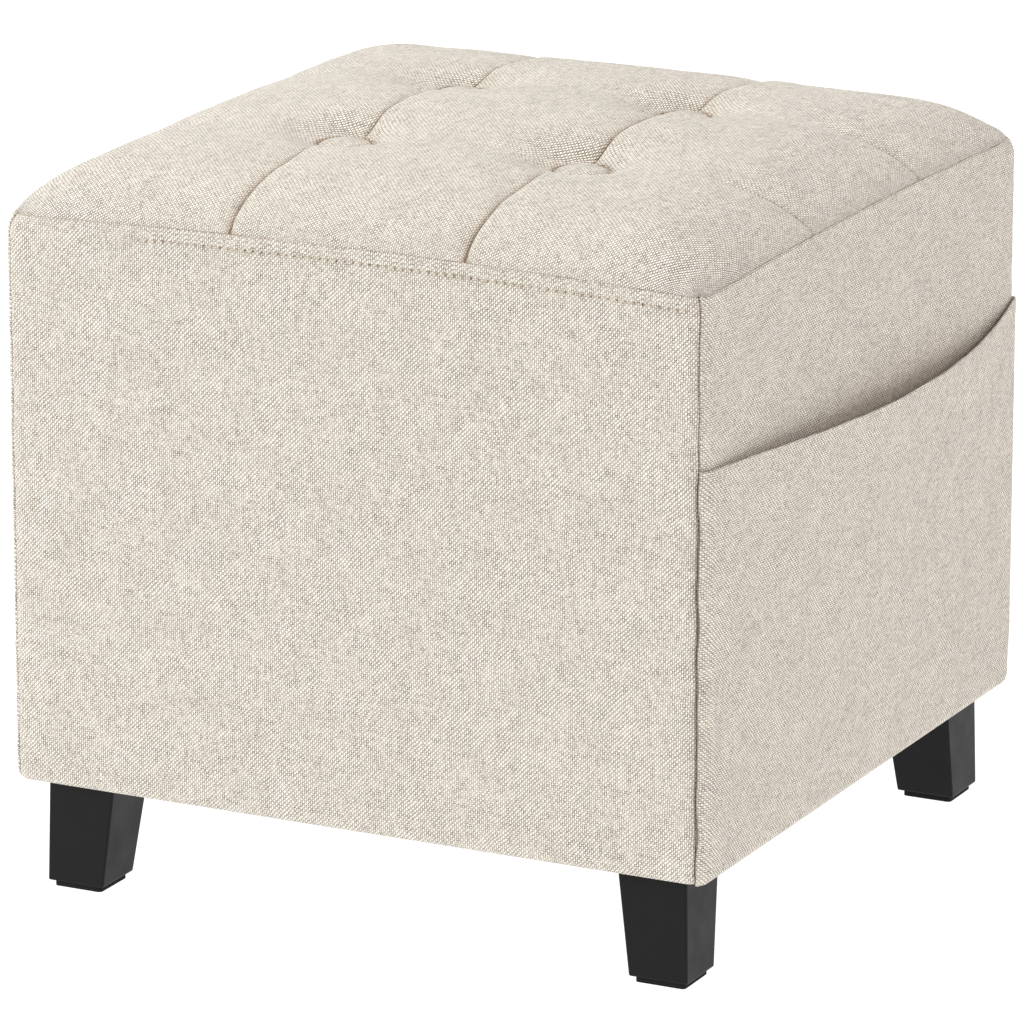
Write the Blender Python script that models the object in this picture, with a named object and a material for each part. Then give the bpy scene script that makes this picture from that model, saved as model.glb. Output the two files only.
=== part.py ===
"""Cube pouf stool: a tufted seat pad on four padded panels, a side pocket and four block legs.

Metres, +Z up. The front faces -Y and the pocket is on the +X side.
The origin is on the floor, midway along the overall width and depth. The body's own
centre lies a little towards -X of it, because the pocket stands off the right side.
"""
import math

import bmesh
import bpy

# Body.
WIDTH = 0.400
DEPTH = 0.400
GAP = 0.0003
PANEL_THICKNESS = 0.012
CORNER_RADIUS = 0.0105
BOTTOM_ROUND = 0.005
TOP_ROUND = 0.0045
ROUND_STEPS = 4
FACE_STEPS = 10

# Heights above the floor. The seam under the seat is arched along each side.
BODY_BOTTOM = 0.0611
SEAM_CORNER = 0.3665
SEAM_ARCH = 0.0045

# The front and back panels wrap this far round each upright corner, to the seam.
FRONT_WRAP = math.radians(40.0)
SIDE_WRAP = math.pi / 2 - FRONT_WRAP
MITRE_DEPTH = CORNER_RADIUS + (PANEL_THICKNESS - CORNER_RADIUS) / math.cos(SIDE_WRAP)

# Seat pad.
PAD_HALF_X = WIDTH / 2 - TOP_ROUND
PAD_HALF_Y = DEPTH / 2 - TOP_ROUND
PAD_CORNER_RADIUS = 0.007
PAD_UNDERSIDE = 0.335
PLUG_CLEARANCE = 0.0004
SHOULDER_HEIGHT = 0.3900
DOME_RISE = 0.0135
DOME_POWER = 1.5
EDGE_REACH = 0.053
EDGE_POWER = 0.60
CORNER_DROP = 0.014
CORNER_REACH = 0.045
CORNER_POWER = 2.0

# Tufting: two pleats along Y, two soft channels along X, and a button where they cross.
# The back right button sits nearer to the middle than the others, so its pleat leans.
PLEAT_X = 0.068
CHANNEL_Y = {"front": -0.070, "back": 0.064}
BUTTON_X = {
    ("front", "left"): -PLEAT_X,
    ("front", "right"): PLEAT_X + 0.001,
    ("back", "left"): -PLEAT_X - 0.001,
    ("back", "right"): PLEAT_X - 0.004,
}
PLEAT_DEPTH = 0.0016
PLEAT_REACH = 0.008
CHANNEL_DEPTH = 0.0020
CHANNEL_REACH = 0.027
CHANNEL_POWER = 2.0
DIMPLE_DEPTH = 0.0140
DIMPLE_REACH = 0.0288
DIMPLE_POWER = 2.4

# Distances of the seat's mesh lines: from an edge inwards, and from a pleat or channel outwards.
EDGE_LINES = (0.0, 0.0012, 0.004, 0.009, 0.017, 0.028, 0.042)
TUFT_LINES = (0.0, 0.006, 0.013, 0.021, 0.031, 0.043)
LINE_SPACING = 0.0011

# Covered buttons.
BUTTON_RADIUS = 0.0145
BUTTON_TOP = 0.3930
BUTTON_DOME = 0.0045
BUTTON_RIM = 0.0030
BUTTON_UNDERCUT = 0.0025
BUTTON_STEPS = 28
WELL_CLEARANCE = 0.0005
WELL_CUTTER_HEIGHT = 0.030
WELL_BRIM_RADIUS = 0.0165
WELL_BRIM_DROP = 0.0020
WELL_BLEND = 0.0090

# Base panel, legs and glides. A leg's two outer faces lean out a little on the way down.
BASE_THICKNESS = 0.015
LEG_OUTER = 0.1866
LEG_BOTTOM_SIZE = 0.033
LEG_TOP_SIZE = 0.039
LEG_LEAN = 0.0012
LEG_EDGE = 0.0010
LEG_EDGE_STEPS = 2
GLIDE_HEIGHT = 0.003
GLIDE_INSET = 0.0025
GLIDE_EDGE = 0.0020
GLIDE_EDGE_STEPS = 3

# Side pocket: a sheet that stands off the right panel most at the middle of its scooped rim.
POCKET_THICKNESS = 0.0020
POCKET_RIM_END = 0.27725
POCKET_SCOOP = 0.0130
POCKET_SCOOP_LEAN = 0.38
POCKET_SCOOP_POWER = 2.4
POCKET_STAND_OFF = 0.0090
POCKET_SLACK_POWER = 0.8
POCKET_WRAP_UNDER = math.radians(30.0)
POCKET_WRAP_STEPS = 2
POCKET_HEIGHT_STEPS = 8
POCKET_RUN_STEPS = 16

SIDES = {"left": -1, "right": 1}
ENDS = {"front": -1, "back": 1}

# Finishes, in linear RGB.
CLOTH_COLOUR = (0.70, 0.62, 0.52)
COVER_COLOUR = (0.020, 0.020, 0.021)
LEG_COLOUR = (0.018, 0.018, 0.019)
GLIDE_COLOUR = (0.012, 0.012, 0.012)

# Meshes: points closer than this are one, and edges sharper than this are drawn sharp.
MERGE_DISTANCE = 1e-6
SHARP_ANGLE = math.radians(35.0)


def clear_scene():
    """Remove what the scene held before."""
    for item in list(bpy.data.objects):
        bpy.data.objects.remove(item, do_unlink=True)


def make_material(name, colour, roughness):
    """A plain finish, with its colour in linear RGB."""
    material = bpy.data.materials.new(name)
    material.use_nodes = True
    shader = material.node_tree.nodes["Principled BSDF"]
    shader.inputs["Base Color"].default_value = (*colour, 1.0)
    shader.inputs["Roughness"].default_value = roughness
    shader.inputs["Metallic"].default_value = 0.0
    return material


def add_object(name, mesh, material):
    """Link one named object that carries one material."""
    item = bpy.data.objects.new(name, mesh)
    bpy.context.collection.objects.link(item)
    mesh.materials.append(material)
    return item


def mesh_from(name, build):
    """Run build on a new bmesh, point its faces outwards and return it as a mesh."""
    shape = bmesh.new()
    build(shape)
    bmesh.ops.remove_doubles(shape, verts=shape.verts[:], dist=MERGE_DISTANCE)
    bmesh.ops.recalc_face_normals(shape, faces=shape.faces[:])
    mesh = bpy.data.meshes.new(name)
    shape.to_mesh(mesh)
    shape.free()
    mesh.shade_smooth()
    mesh.set_sharp_from_angle(angle=SHARP_ANGLE)
    return mesh


def bridge(shape, row_a, row_b, closed=True):
    """Join two rows of as many points with quads."""
    count = len(row_a)
    for i in range(count if closed else count - 1):
        j = (i + 1) % count
        shape.faces.new((row_a[i], row_a[j], row_b[j], row_b[i]))


def seam_height(x, y):
    """Height of the seam between the seat pad and the panels, highest midway along each side."""
    across = 1.0 - min(1.0, abs(x) / (WIDTH / 2)) ** 2
    along = 1.0 - min(1.0, abs(y) / (DEPTH / 2)) ** 2
    return SEAM_CORNER + SEAM_ARCH * (across + along)


# Panels ---------------------------------------------------------------------
# A face has its own axes: s runs along it and t points out of it. A station is a place
# on the face: the centre that its outline is rounded about (s, t), and its outward turn.


def to_world(point, outward):
    """World x, y of a point (s, t) of a face that looks along the angle outward."""
    s, t = point
    x = t * math.cos(outward) - s * math.sin(outward)
    y = t * math.sin(outward) + s * math.cos(outward)
    return x, y


def face_stations(half_run, half_out, wrap, face_steps):
    """The stations of a face, from one wrapped corner to the other."""
    run = half_run - CORNER_RADIUS
    out = half_out - CORNER_RADIUS
    turns = [wrap * (i / ROUND_STEPS) for i in range(1, ROUND_STEPS + 1)]
    start = [(-run, out, -turn) for turn in reversed(turns)]
    middle = [(run * (2.0 * i / face_steps - 1.0), out, 0.0) for i in range(face_steps + 1)]
    end = [(run, out, turn) for turn in turns]
    return start + middle + end


def outline_point(station, radius, wrap):
    """The point (s, t) of a station at a radius, half of the gap short of the mitre plane."""
    run, out, turn = station
    s = run + radius * math.sin(turn)
    t = out + radius * math.cos(turn)
    if abs(turn) >= wrap:
        back = -math.copysign(GAP / 2, turn)
        s += back * math.cos(turn)
        t -= back * math.sin(turn)
    return s, t


def inner_corner(half_run, half_out, wrap):
    """The point (s, t) where a panel's inner face ends at the mitre."""
    station = (half_run - CORNER_RADIUS, half_out - CORNER_RADIUS, wrap)
    return outline_point(station, CORNER_RADIUS - MITRE_DEPTH, wrap)


def rounded_edge(radius, steps, bottom):
    """Points of a quarter round as (inset, height above its own level), in rising order."""
    points = []
    for i in range(steps + 1):
        turn = math.pi / 2 * i / steps
        if bottom:
            points.append((radius * (1.0 - math.sin(turn)), radius * (1.0 - math.cos(turn))))
        else:
            points.append((radius * (1.0 - math.cos(turn)), radius * (math.sin(turn) - 1.0)))
    return points


def panel_mesh(name, half_run, half_out, wrap, outward):
    """A padded panel with rounded outer edges, mitred to its neighbours."""
    corner_s, corner_t = inner_corner(half_run, half_out, wrap)
    low_edge = rounded_edge(BOTTOM_ROUND, ROUND_STEPS, bottom=True)
    high_edge = rounded_edge(TOP_ROUND, ROUND_STEPS, bottom=False)

    def section(shape, station):
        row = []
        for inset, height in low_edge:
            x, y = to_world(outline_point(station, CORNER_RADIUS - inset, wrap), outward)
            row.append(shape.verts.new((x, y, BODY_BOTTOM + height)))
        for inset, height in high_edge:
            x, y = to_world(outline_point(station, CORNER_RADIUS - inset, wrap), outward)
            row.append(shape.verts.new((x, y, seam_height(x, y) + height)))
        inner_s = max(-corner_s, min(corner_s, station[0]))
        x, y = to_world((inner_s, corner_t), outward)
        row.append(shape.verts.new((x, y, seam_height(x, y))))
        row.append(shape.verts.new((x, y, BODY_BOTTOM)))
        return row

    def build(shape):
        stations = face_stations(half_run, half_out, wrap, FACE_STEPS)
        rows = [section(shape, station) for station in stations]
        for row_a, row_b in zip(rows, rows[1:]):
            bridge(shape, row_a, row_b)
        shape.faces.new(rows[0])
        shape.faces.new(rows[-1])

    return mesh_from(name, build)


def make_panels(cloth):
    """The four upholstered panels round the body."""
    for name, side in ENDS.items():
        mesh = panel_mesh(f"{name}_panel", WIDTH / 2, DEPTH / 2, FRONT_WRAP, side * math.pi / 2)
        add_object(f"{name}_panel", mesh, cloth)
    for name, side in SIDES.items():
        outward = 0.0 if side > 0 else math.pi
        mesh = panel_mesh(f"{name}_panel", DEPTH / 2, WIDTH / 2, SIDE_WRAP, outward)
        add_object(f"{name}_panel", mesh, cloth)


def inner_half_sizes():
    """Half width and half depth of the space inside the four panels."""
    half_x = inner_corner(DEPTH / 2, WIDTH / 2, SIDE_WRAP)[1]
    half_y = inner_corner(WIDTH / 2, DEPTH / 2, FRONT_WRAP)[1]
    return half_x, half_y


# Seat pad -------------------------------------------------------------------


def corners():
    """The end and side of each button, and of each leg."""
    return [(end, side) for end in ENDS for side in SIDES]


def pleat_x(side, y):
    """Where a side's pleat runs: from button to button, and square to the seat's end beyond them."""
    front_x = BUTTON_X["front", side]
    back_x = BUTTON_X["back", side]
    share = (y - CHANNEL_Y["front"]) / (CHANNEL_Y["back"] - CHANNEL_Y["front"])
    return front_x + min(1.0, max(0.0, share)) * (back_x - front_x)


def share_left(distance, reach):
    """Share of a reach that is left at a distance: 1 at its start, 0 at its end and beyond."""
    return 1.0 - max(0.0, min(1.0, distance / reach))


def edge_rise(distance):
    """Share of the crown reached at a distance in from the seam: nearly a quarter ellipse."""
    return (1.0 - share_left(distance, EDGE_REACH) ** 2) ** EDGE_POWER


def corner_drop(from_side, from_end):
    """How much lower the filling lies near a corner, where two edges meet."""
    near = share_left(from_side, CORNER_REACH) * share_left(from_end, CORNER_REACH)
    return CORNER_DROP * near ** CORNER_POWER


def valley(distance, depth, reach):
    """Depth of a fold with a sharp bottom that eases out over its reach."""
    return depth * math.exp(-abs(distance) / reach)


def bell(distance, depth, reach, power):
    """Depth of a soft hollow with a round bottom."""
    return depth * math.exp(-(abs(distance) / reach) ** power)


def ease(share):
    """A smooth step from 0 to 1 as the share goes from 0 to 1."""
    share = max(0.0, min(1.0, share))
    return share ** 2 * (3.0 - 2.0 * share)


def tuft_distance(x, y):
    """Distance to the nearest button."""
    return min(math.hypot(x - BUTTON_X[end, side], y - CHANNEL_Y[end]) for end, side in corners())


def seat_height(x, y, from_side, from_end):
    """Height of the seat's top, with the distances in from its left or right and its front or back."""
    across = 1.0 - (x / PAD_HALF_X) ** 2
    along = 1.0 - (y / PAD_HALF_Y) ** 2
    pillows = SHOULDER_HEIGHT + DOME_RISE * across * along ** DOME_POWER
    pillows -= corner_drop(from_side, from_end)
    for side in SIDES:
        pillows -= valley(x - pleat_x(side, y), PLEAT_DEPTH, PLEAT_REACH)
    for channel_y in CHANNEL_Y.values():
        pillows -= bell(y - channel_y, CHANNEL_DEPTH * across, CHANNEL_REACH, CHANNEL_POWER)
    pillows -= bell(tuft_distance(x, y), DIMPLE_DEPTH, DIMPLE_REACH, DIMPLE_POWER)
    seam = seam_height(x, y)
    height = seam + edge_rise(from_side) * edge_rise(from_end) * (pillows - seam)
    brim = BUTTON_TOP - WELL_BRIM_DROP
    return brim + ease((tuft_distance(x, y) - WELL_BRIM_RADIUS) / WELL_BLEND) * (height - brim)


def seat_lines(half, tufts):
    """Mesh lines across the seat: close together at its edges and folds."""
    lines = [sum(tufts) / len(tufts)]
    for distance in EDGE_LINES:
        lines += [distance - half, half - distance]
    for tuft in tufts:
        for distance in TUFT_LINES:
            lines += [tuft - distance, tuft + distance]
    spaced = []
    for line in sorted(lines):
        if not spaced or line - spaced[-1] > LINE_SPACING:
            spaced.append(line)
    return spaced


def lean_with_pleats(x, y):
    """Move a mesh line sideways with the nearer pleat, less and less away from it."""
    side = "left" if x < 0 else "right"
    nominal = SIDES[side] * PLEAT_X
    if abs(x) <= PLEAT_X:
        share = abs(x) / PLEAT_X
    else:
        share = (PAD_HALF_X - abs(x)) / (PAD_HALF_X - PLEAT_X)
    return x + share * (pleat_x(side, y) - nominal)


def round_corner(x, y, half_x, half_y, radius):
    """Draw a point of a square's corner in to the quarter circle that rounds it."""
    over_x = abs(x) - (half_x - radius)
    over_y = abs(y) - (half_y - radius)
    if over_x <= 0.0 or over_y <= 0.0:
        return x, y
    scale = max(over_x, over_y) / math.hypot(over_x, over_y)
    new_x = math.copysign(half_x - radius + over_x * scale, x)
    new_y = math.copysign(half_y - radius + over_y * scale, y)
    return new_x, new_y


def border_of(grid):
    """The outer loop of a grid of points, in order."""
    first, last = grid[0], grid[-1]
    left = [row[0] for row in grid]
    right = [row[-1] for row in grid]
    return first[:-1] + right[:-1] + last[:0:-1] + left[:0:-1]


def seat_mesh(name):
    """The filled seat: crowned and folded top, flat rim on the panels, plug inside them."""
    lines_x = seat_lines(PAD_HALF_X, (-PLEAT_X, PLEAT_X))
    lines_y = seat_lines(PAD_HALF_Y, tuple(CHANNEL_Y.values()))
    plug_x, plug_y = (half - PLUG_CLEARANCE for half in inner_half_sizes())

    def top_point(shape, x, y):
        lean_x = lean_with_pleats(x, y)
        round_x, round_y = round_corner(lean_x, y, PAD_HALF_X, PAD_HALF_Y, PAD_CORNER_RADIUS)
        height = seat_height(round_x, round_y, PAD_HALF_X - abs(lean_x), PAD_HALF_Y - abs(y))
        return shape.verts.new((round_x, round_y, height + GAP))

    def build(shape):
        grid = [[top_point(shape, x, y) for x in lines_x] for y in lines_y]
        for row_a, row_b in zip(grid, grid[1:]):
            bridge(shape, row_a, row_b, closed=False)
        rim = border_of(grid)
        neck = []
        foot = []
        for vert in rim:
            x = vert.co.x * plug_x / PAD_HALF_X
            y = vert.co.y * plug_y / PAD_HALF_Y
            neck.append(shape.verts.new((x, y, seam_height(x, y) + GAP)))
            foot.append(shape.verts.new((x, y, PAD_UNDERSIDE)))
        bridge(shape, rim, neck)
        bridge(shape, neck, foot)
        shape.faces.new(foot)

    return mesh_from(name, build)


def make_seat(cloth):
    """The seat pad, with a well cut for each button."""
    seat = add_object("seat_pad", seat_mesh("seat_pad"), cloth)
    for end, side in corners():
        cut_well(seat, end, side)


# Buttons --------------------------------------------------------------------


def button_profile():
    """A covered button's outline as (radius, height below its top), from top to bottom."""
    points = []
    for i in range(ROUND_STEPS + 1):
        turn = math.pi / 2 * i / ROUND_STEPS
        points.append((BUTTON_RADIUS * math.sin(turn), -BUTTON_DOME * (1.0 - math.cos(turn))))
    points.append((BUTTON_RADIUS - BUTTON_UNDERCUT, -BUTTON_DOME - BUTTON_RIM))
    return points


def turned(shape, profile, steps):
    """Turn a profile that starts on the Z axis and close its end flat."""
    tip = shape.verts.new((0.0, 0.0, profile[0][1]))
    rings = []
    for radius, height in profile[1:]:
        ring = []
        for i in range(steps):
            turn = 2.0 * math.pi * i / steps
            ring.append(shape.verts.new((radius * math.cos(turn), radius * math.sin(turn), height)))
        rings.append(ring)
    for i in range(steps):
        shape.faces.new((tip, rings[0][i], rings[0][(i + 1) % steps]))
    for ring_a, ring_b in zip(rings, rings[1:]):
        bridge(shape, ring_a, ring_b)
    shape.faces.new(rings[-1])


def make_buttons(cloth):
    """Four covered buttons, each with its origin on its top."""
    mesh = mesh_from("button", lambda shape: turned(shape, button_profile(), BUTTON_STEPS))
    for end, side in corners():
        button = add_object(f"button_{end}_{side}", mesh.copy(), cloth)
        button.location = (BUTTON_X[end, side], CHANNEL_Y[end], BUTTON_TOP)


def cut_well(seat, end, side):
    """Cut the round well that one button sits in."""
    floor = BUTTON_TOP - BUTTON_DOME - BUTTON_RIM - GAP
    radius = BUTTON_RADIUS + WELL_CLEARANCE

    def build(shape):
        bmesh.ops.create_cone(shape, cap_ends=True, segments=BUTTON_STEPS,
                              radius1=radius, radius2=radius, depth=WELL_CUTTER_HEIGHT)
        bmesh.ops.translate(shape, verts=shape.verts[:], vec=(0.0, 0.0, WELL_CUTTER_HEIGHT / 2))

    cutter = bpy.data.objects.new(f"well_{end}_{side}", mesh_from("well", build))
    bpy.context.collection.objects.link(cutter)
    cutter.location = (BUTTON_X[end, side], CHANNEL_Y[end], floor)
    cutter.hide_render = True
    cutter.display_type = "WIRE"
    cut = seat.modifiers.new(cutter.name, "BOOLEAN")
    cut.operation = "DIFFERENCE"
    cut.solver = "EXACT"
    cut.object = cutter


# Side pocket ----------------------------------------------------------------


def pocket_rim(share):
    """Height of the pocket's rim at a share -1 to 1 of its run: a scoop that is lowest towards the back."""
    leaned = share - POCKET_SCOOP_LEAN * (1.0 - share ** 2)
    return POCKET_RIM_END - POCKET_SCOOP * (1.0 - abs(leaned) ** POCKET_SCOOP_POWER)


def pocket_stand_off(share, height):
    """How far the pocket hangs off the panel, on top of the gap at its seams."""
    start = BODY_BOTTOM + BOTTOM_ROUND
    lift = (height - start) / (pocket_rim(share) - start)
    return POCKET_STAND_OFF * (1.0 - share ** 2) * lift ** POCKET_SLACK_POWER


def pocket_mesh(name):
    """The pocket sheet: it follows the right panel round its ends and under its bottom edge."""
    half_run = DEPTH / 2
    half_out = WIDTH / 2
    reach = half_run - CORNER_RADIUS
    bottom = BODY_BOTTOM + BOTTOM_ROUND

    def sheet_point(shape, station, level, thickness):
        share = station[0] / reach
        if level < POCKET_WRAP_STEPS:
            turn = POCKET_WRAP_UNDER * (1.0 - level / POCKET_WRAP_STEPS)
            radius = BOTTOM_ROUND + GAP + thickness
            out = CORNER_RADIUS - BOTTOM_ROUND + radius * math.cos(turn)
            height = bottom - radius * math.sin(turn)
        else:
            climb = (level - POCKET_WRAP_STEPS) / POCKET_HEIGHT_STEPS
            height = bottom + climb * (pocket_rim(share) - bottom)
            out = CORNER_RADIUS + GAP + thickness + pocket_stand_off(share, height)
        x, y = to_world(outline_point(station, out, SIDE_WRAP), 0.0)
        return shape.verts.new((x, y, height))

    def build(shape):
        stations = face_stations(half_run, half_out, SIDE_WRAP, POCKET_RUN_STEPS)
        levels = range(POCKET_WRAP_STEPS + POCKET_HEIGHT_STEPS + 1)
        inner = [[sheet_point(shape, station, level, 0.0) for level in levels] for station in stations]
        outer = [[sheet_point(shape, station, level, POCKET_THICKNESS) for level in levels]
                 for station in stations]
        for grid in (inner, outer):
            for row_a, row_b in zip(grid, grid[1:]):
                bridge(shape, row_a, row_b, closed=False)
        bridge(shape, border_of(inner), border_of(outer))

    return mesh_from(name, build)


def make_pocket(cloth):
    """The pocket on the right side."""
    add_object("side_pocket", pocket_mesh("side_pocket"), cloth)


# Underside ------------------------------------------------------------------


def box_between(shape, low, high):
    """A box from its lowest corner to its highest one."""
    bmesh.ops.create_cube(shape, size=1.0)
    for vert in shape.verts:
        for axis in range(3):
            vert.co[axis] = high[axis] if vert.co[axis] > 0 else low[axis]


def make_base(cover):
    """The covered board that closes the underside."""
    half_x, half_y = (half - GAP for half in inner_half_sizes())
    low = (-half_x, -half_y, BODY_BOTTOM)
    high = (half_x, half_y, BODY_BOTTOM + BASE_THICKNESS)
    mesh = mesh_from("base_panel", lambda shape: box_between(shape, low, high))
    add_object("base_panel", mesh, cover)


def square(shape, outer_x, outer_y, size, height):
    """Four corners of a square that reaches from its outer corner towards the stool's middle."""
    inner_x = outer_x - math.copysign(size, outer_x)
    inner_y = outer_y - math.copysign(size, outer_y)
    corners = ((outer_x, outer_y), (inner_x, outer_y), (inner_x, inner_y), (outer_x, inner_y))
    return [shape.verts.new((x, y, height)) for x, y in corners]


def block(shape, low, high):
    """Close the space between two squares."""
    bridge(shape, low, high)
    shape.faces.new(low)
    shape.faces.new(high)


def make_leg(end, side, plastic):
    """One tapered block leg: upright outside, drawn in on its two inner faces."""
    sign_x, sign_y = SIDES[side], ENDS[end]

    def build(shape):
        low = square(shape, sign_x * LEG_OUTER, sign_y * LEG_OUTER, LEG_BOTTOM_SIZE, GLIDE_HEIGHT + GAP)
        outer = LEG_OUTER - LEG_LEAN
        high = square(shape, sign_x * outer, sign_y * outer, LEG_TOP_SIZE, BODY_BOTTOM - GAP)
        block(shape, low, high)

    leg = add_object(f"leg_{end}_{side}", mesh_from("leg", build), plastic)
    bevel = leg.modifiers.new("edges", "BEVEL")
    bevel.width = LEG_EDGE
    bevel.segments = LEG_EDGE_STEPS
    bevel.limit_method = "ANGLE"


def make_glide(end, side, rubber):
    """One thin pad under a leg."""
    outer = LEG_OUTER - GLIDE_INSET
    size = LEG_BOTTOM_SIZE - 2.0 * GLIDE_INSET

    def build(shape):
        low = square(shape, SIDES[side] * outer, ENDS[end] * outer, size, 0.0)
        high = square(shape, SIDES[side] * outer, ENDS[end] * outer, size, GLIDE_HEIGHT)
        block(shape, low, high)
        upright = [edge for edge in shape.edges if edge.verts[0].co.z != edge.verts[1].co.z]
        bmesh.ops.bevel(shape, geom=upright, offset=GLIDE_EDGE, segments=GLIDE_EDGE_STEPS,
                        affect="EDGES", profile=0.5)

    add_object(f"glide_{end}_{side}", mesh_from("glide", build), rubber)


def make_feet(plastic, rubber):
    """A leg and its glide at each corner."""
    for end, side in corners():
        make_leg(end, side, plastic)
        make_glide(end, side, rubber)


def centre_overall():
    """Put every piece on one empty, so that the origin is midway along the overall width."""
    stool = bpy.data.objects.new("stool", None)
    stool.location.x = -(GAP + POCKET_THICKNESS + POCKET_STAND_OFF) / 2
    for item in list(bpy.context.collection.objects):
        item.parent = stool
    bpy.context.collection.objects.link(stool)


def main():
    clear_scene()
    cloth = make_material("linen_cloth", CLOTH_COLOUR, roughness=0.95)
    cover = make_material("underside_cover", COVER_COLOUR, roughness=0.90)
    plastic = make_material("black_leg", LEG_COLOUR, roughness=0.40)
    rubber = make_material("black_glide", GLIDE_COLOUR, roughness=0.80)
    make_panels(cloth)
    make_seat(cloth)
    make_buttons(cloth)
    make_pocket(cloth)
    make_base(cover)
    make_feet(plastic, rubber)
    centre_overall()


main()
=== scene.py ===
# %% [markdown]
# # A cube pouf stool, dressed
# The stool is a light board box, padded, covered with linen-look cloth and topped with a tufted
# seat. The construction is already packed as a fixed frame of solids. This script gives each soft
# piece its real surface: a fine mesh with folds, seams and puckers, and a woven finish.
# Every piece is laid out in the stool's own frame, in metres, so nothing has to be fitted later.

# %% Load the frame
import math

import bpy
import numpy as np
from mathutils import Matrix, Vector


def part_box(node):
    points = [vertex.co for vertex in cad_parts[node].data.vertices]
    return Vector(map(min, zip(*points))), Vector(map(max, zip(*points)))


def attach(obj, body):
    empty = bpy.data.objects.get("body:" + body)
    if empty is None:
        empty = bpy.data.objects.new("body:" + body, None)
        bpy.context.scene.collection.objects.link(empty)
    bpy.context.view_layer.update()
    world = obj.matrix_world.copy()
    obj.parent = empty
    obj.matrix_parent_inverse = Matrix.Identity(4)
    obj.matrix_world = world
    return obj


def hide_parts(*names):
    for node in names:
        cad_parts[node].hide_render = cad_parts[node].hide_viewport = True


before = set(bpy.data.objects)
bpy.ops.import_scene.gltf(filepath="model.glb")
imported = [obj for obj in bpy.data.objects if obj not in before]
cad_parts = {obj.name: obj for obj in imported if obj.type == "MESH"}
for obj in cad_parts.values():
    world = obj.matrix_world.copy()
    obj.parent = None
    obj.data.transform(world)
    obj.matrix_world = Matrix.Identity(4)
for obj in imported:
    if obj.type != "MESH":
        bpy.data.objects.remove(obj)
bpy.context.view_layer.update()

# %% [markdown]
# ## The body's own axes
# The pocket stands off the right side, so the origin of the frame lies a little to the right of
# the body's middle. Shapes are easiest to write about the body's own centre: x to the right, y to
# the back, z up from the floor. One number then carries them into the frame.

# %% Sizes that the frame gives
MM = 0.001
right_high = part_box("right_panel")[1]
left_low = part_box("left_panel")[0]
CENTRE_X = (right_high.x + left_low.x) / 2
HALF = (right_high.x - left_low.x) / 2
BODY_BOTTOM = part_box("front_panel")[0].z
PAD_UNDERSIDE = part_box("seat_pad")[0].z
PAD_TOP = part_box("seat_pad")[1].z
print(f"body {2000 * HALF:.1f} mm wide, centred at x = {1000 * CENTRE_X:.2f} mm")
print(f"top at {1000 * PAD_TOP:.1f} mm")

# %% [markdown]
# ## Small helpers
# A surface is a grid of points. Two things turn it into a mesh: a list of quads between
# neighbouring points, and a UV map that holds each point's place on the flat cloth in metres,
# measured along the threads. The weave reads that map, so it follows every fold at its real scale.

# %% Helpers for shapes


def ease(share):
    """A smooth step from 0 to 1 as the share goes from 0 to 1."""
    share = np.clip(share, 0.0, 1.0)
    return share ** 2 * (3.0 - 2.0 * share)


def bump(distance, reach):
    """A bump of height 1 with a round top that fades out over its reach."""
    return np.exp(-(np.abs(distance) / reach) ** 2.0)


def ripple(along, wavelength, seed):
    """An uneven wave of height 1 or so: three sines of near wavelengths, with seeded phases."""
    phases = np.random.default_rng(seed).uniform(0.0, 2.0 * math.pi, 3)
    stretches = (1.0, 1.37, 0.71)
    return sum(np.sin(2.0 * math.pi * along / (wavelength * k) + p) for k, p in zip(stretches, phases)) / 2.0


def puckers(along, from_seam, seed, height, wavelength, middle, reach):
    """Small gathers along a seam: a ripple that is strongest a little way in from it."""
    return height * ripple(along, wavelength, seed) * bump(from_seam - middle, reach)


def running_sum(steps):
    """The sums of the steps so far, from 0."""
    return np.concatenate(([0.0], np.cumsum(steps)))


def graded(start, end, step, finest=0.45 * MM, growth=0.30):
    """Lines from start to end: finest at both ends, and at most a step apart between them."""
    x = np.linspace(start, end, 4001)
    gap = np.minimum(step, finest + growth * np.minimum(x - start, end - x))
    count = running_sum(0.5 * (1.0 / gap[1:] + 1.0 / gap[:-1]) * np.diff(x))
    return np.interp(np.linspace(0.0, count[-1], round(count[-1]) + 1), count, x)


def run_lengths(points, axis, middle):
    """Distances along one axis of a grid of points, from its middle line."""
    steps = np.linalg.norm(np.diff(points, axis=axis), axis=-1)
    start = np.zeros_like(np.take(steps, [0], axis=axis))
    lengths = np.concatenate((start, np.cumsum(steps, axis=axis)), axis=axis)
    return lengths - np.take(lengths, [middle], axis=axis)


def grid_faces(rows, columns, closed=False):
    """Quads between neighbouring points of a grid that is stored row by row."""
    i, j = np.meshgrid(np.arange(rows - 1), np.arange(columns if closed else columns - 1), indexing="ij")
    k = (j + 1) % columns
    quads = np.stack((i * columns + j, i * columns + k, (i + 1) * columns + k, (i + 1) * columns + j), -1)
    return [tuple(quad) for quad in quads.reshape(-1, 4).tolist()]


print("lines from 0 to 6 mm, finest at both ends:", np.round(graded(0.0, 6.0 * MM, 2.0 * MM) / MM, 1))

# %% Helpers for meshes
SHARP_ANGLE = math.radians(60.0)    # edges that turn more than this stay sharp


def closed_tube(count, loop):
    """Faces of a row of closed loops of points, with a cap on each end."""
    faces = grid_faces(count, loop, closed=True)
    faces.append(tuple(range(loop))[::-1])
    faces.append(tuple(range((count - 1) * loop, count * loop)))
    return faces


def add_object(name, data):
    """Put a mesh, a lamp or a camera into the scene."""
    item = bpy.data.objects.new(name, data)
    bpy.context.scene.collection.objects.link(item)
    return item


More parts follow.
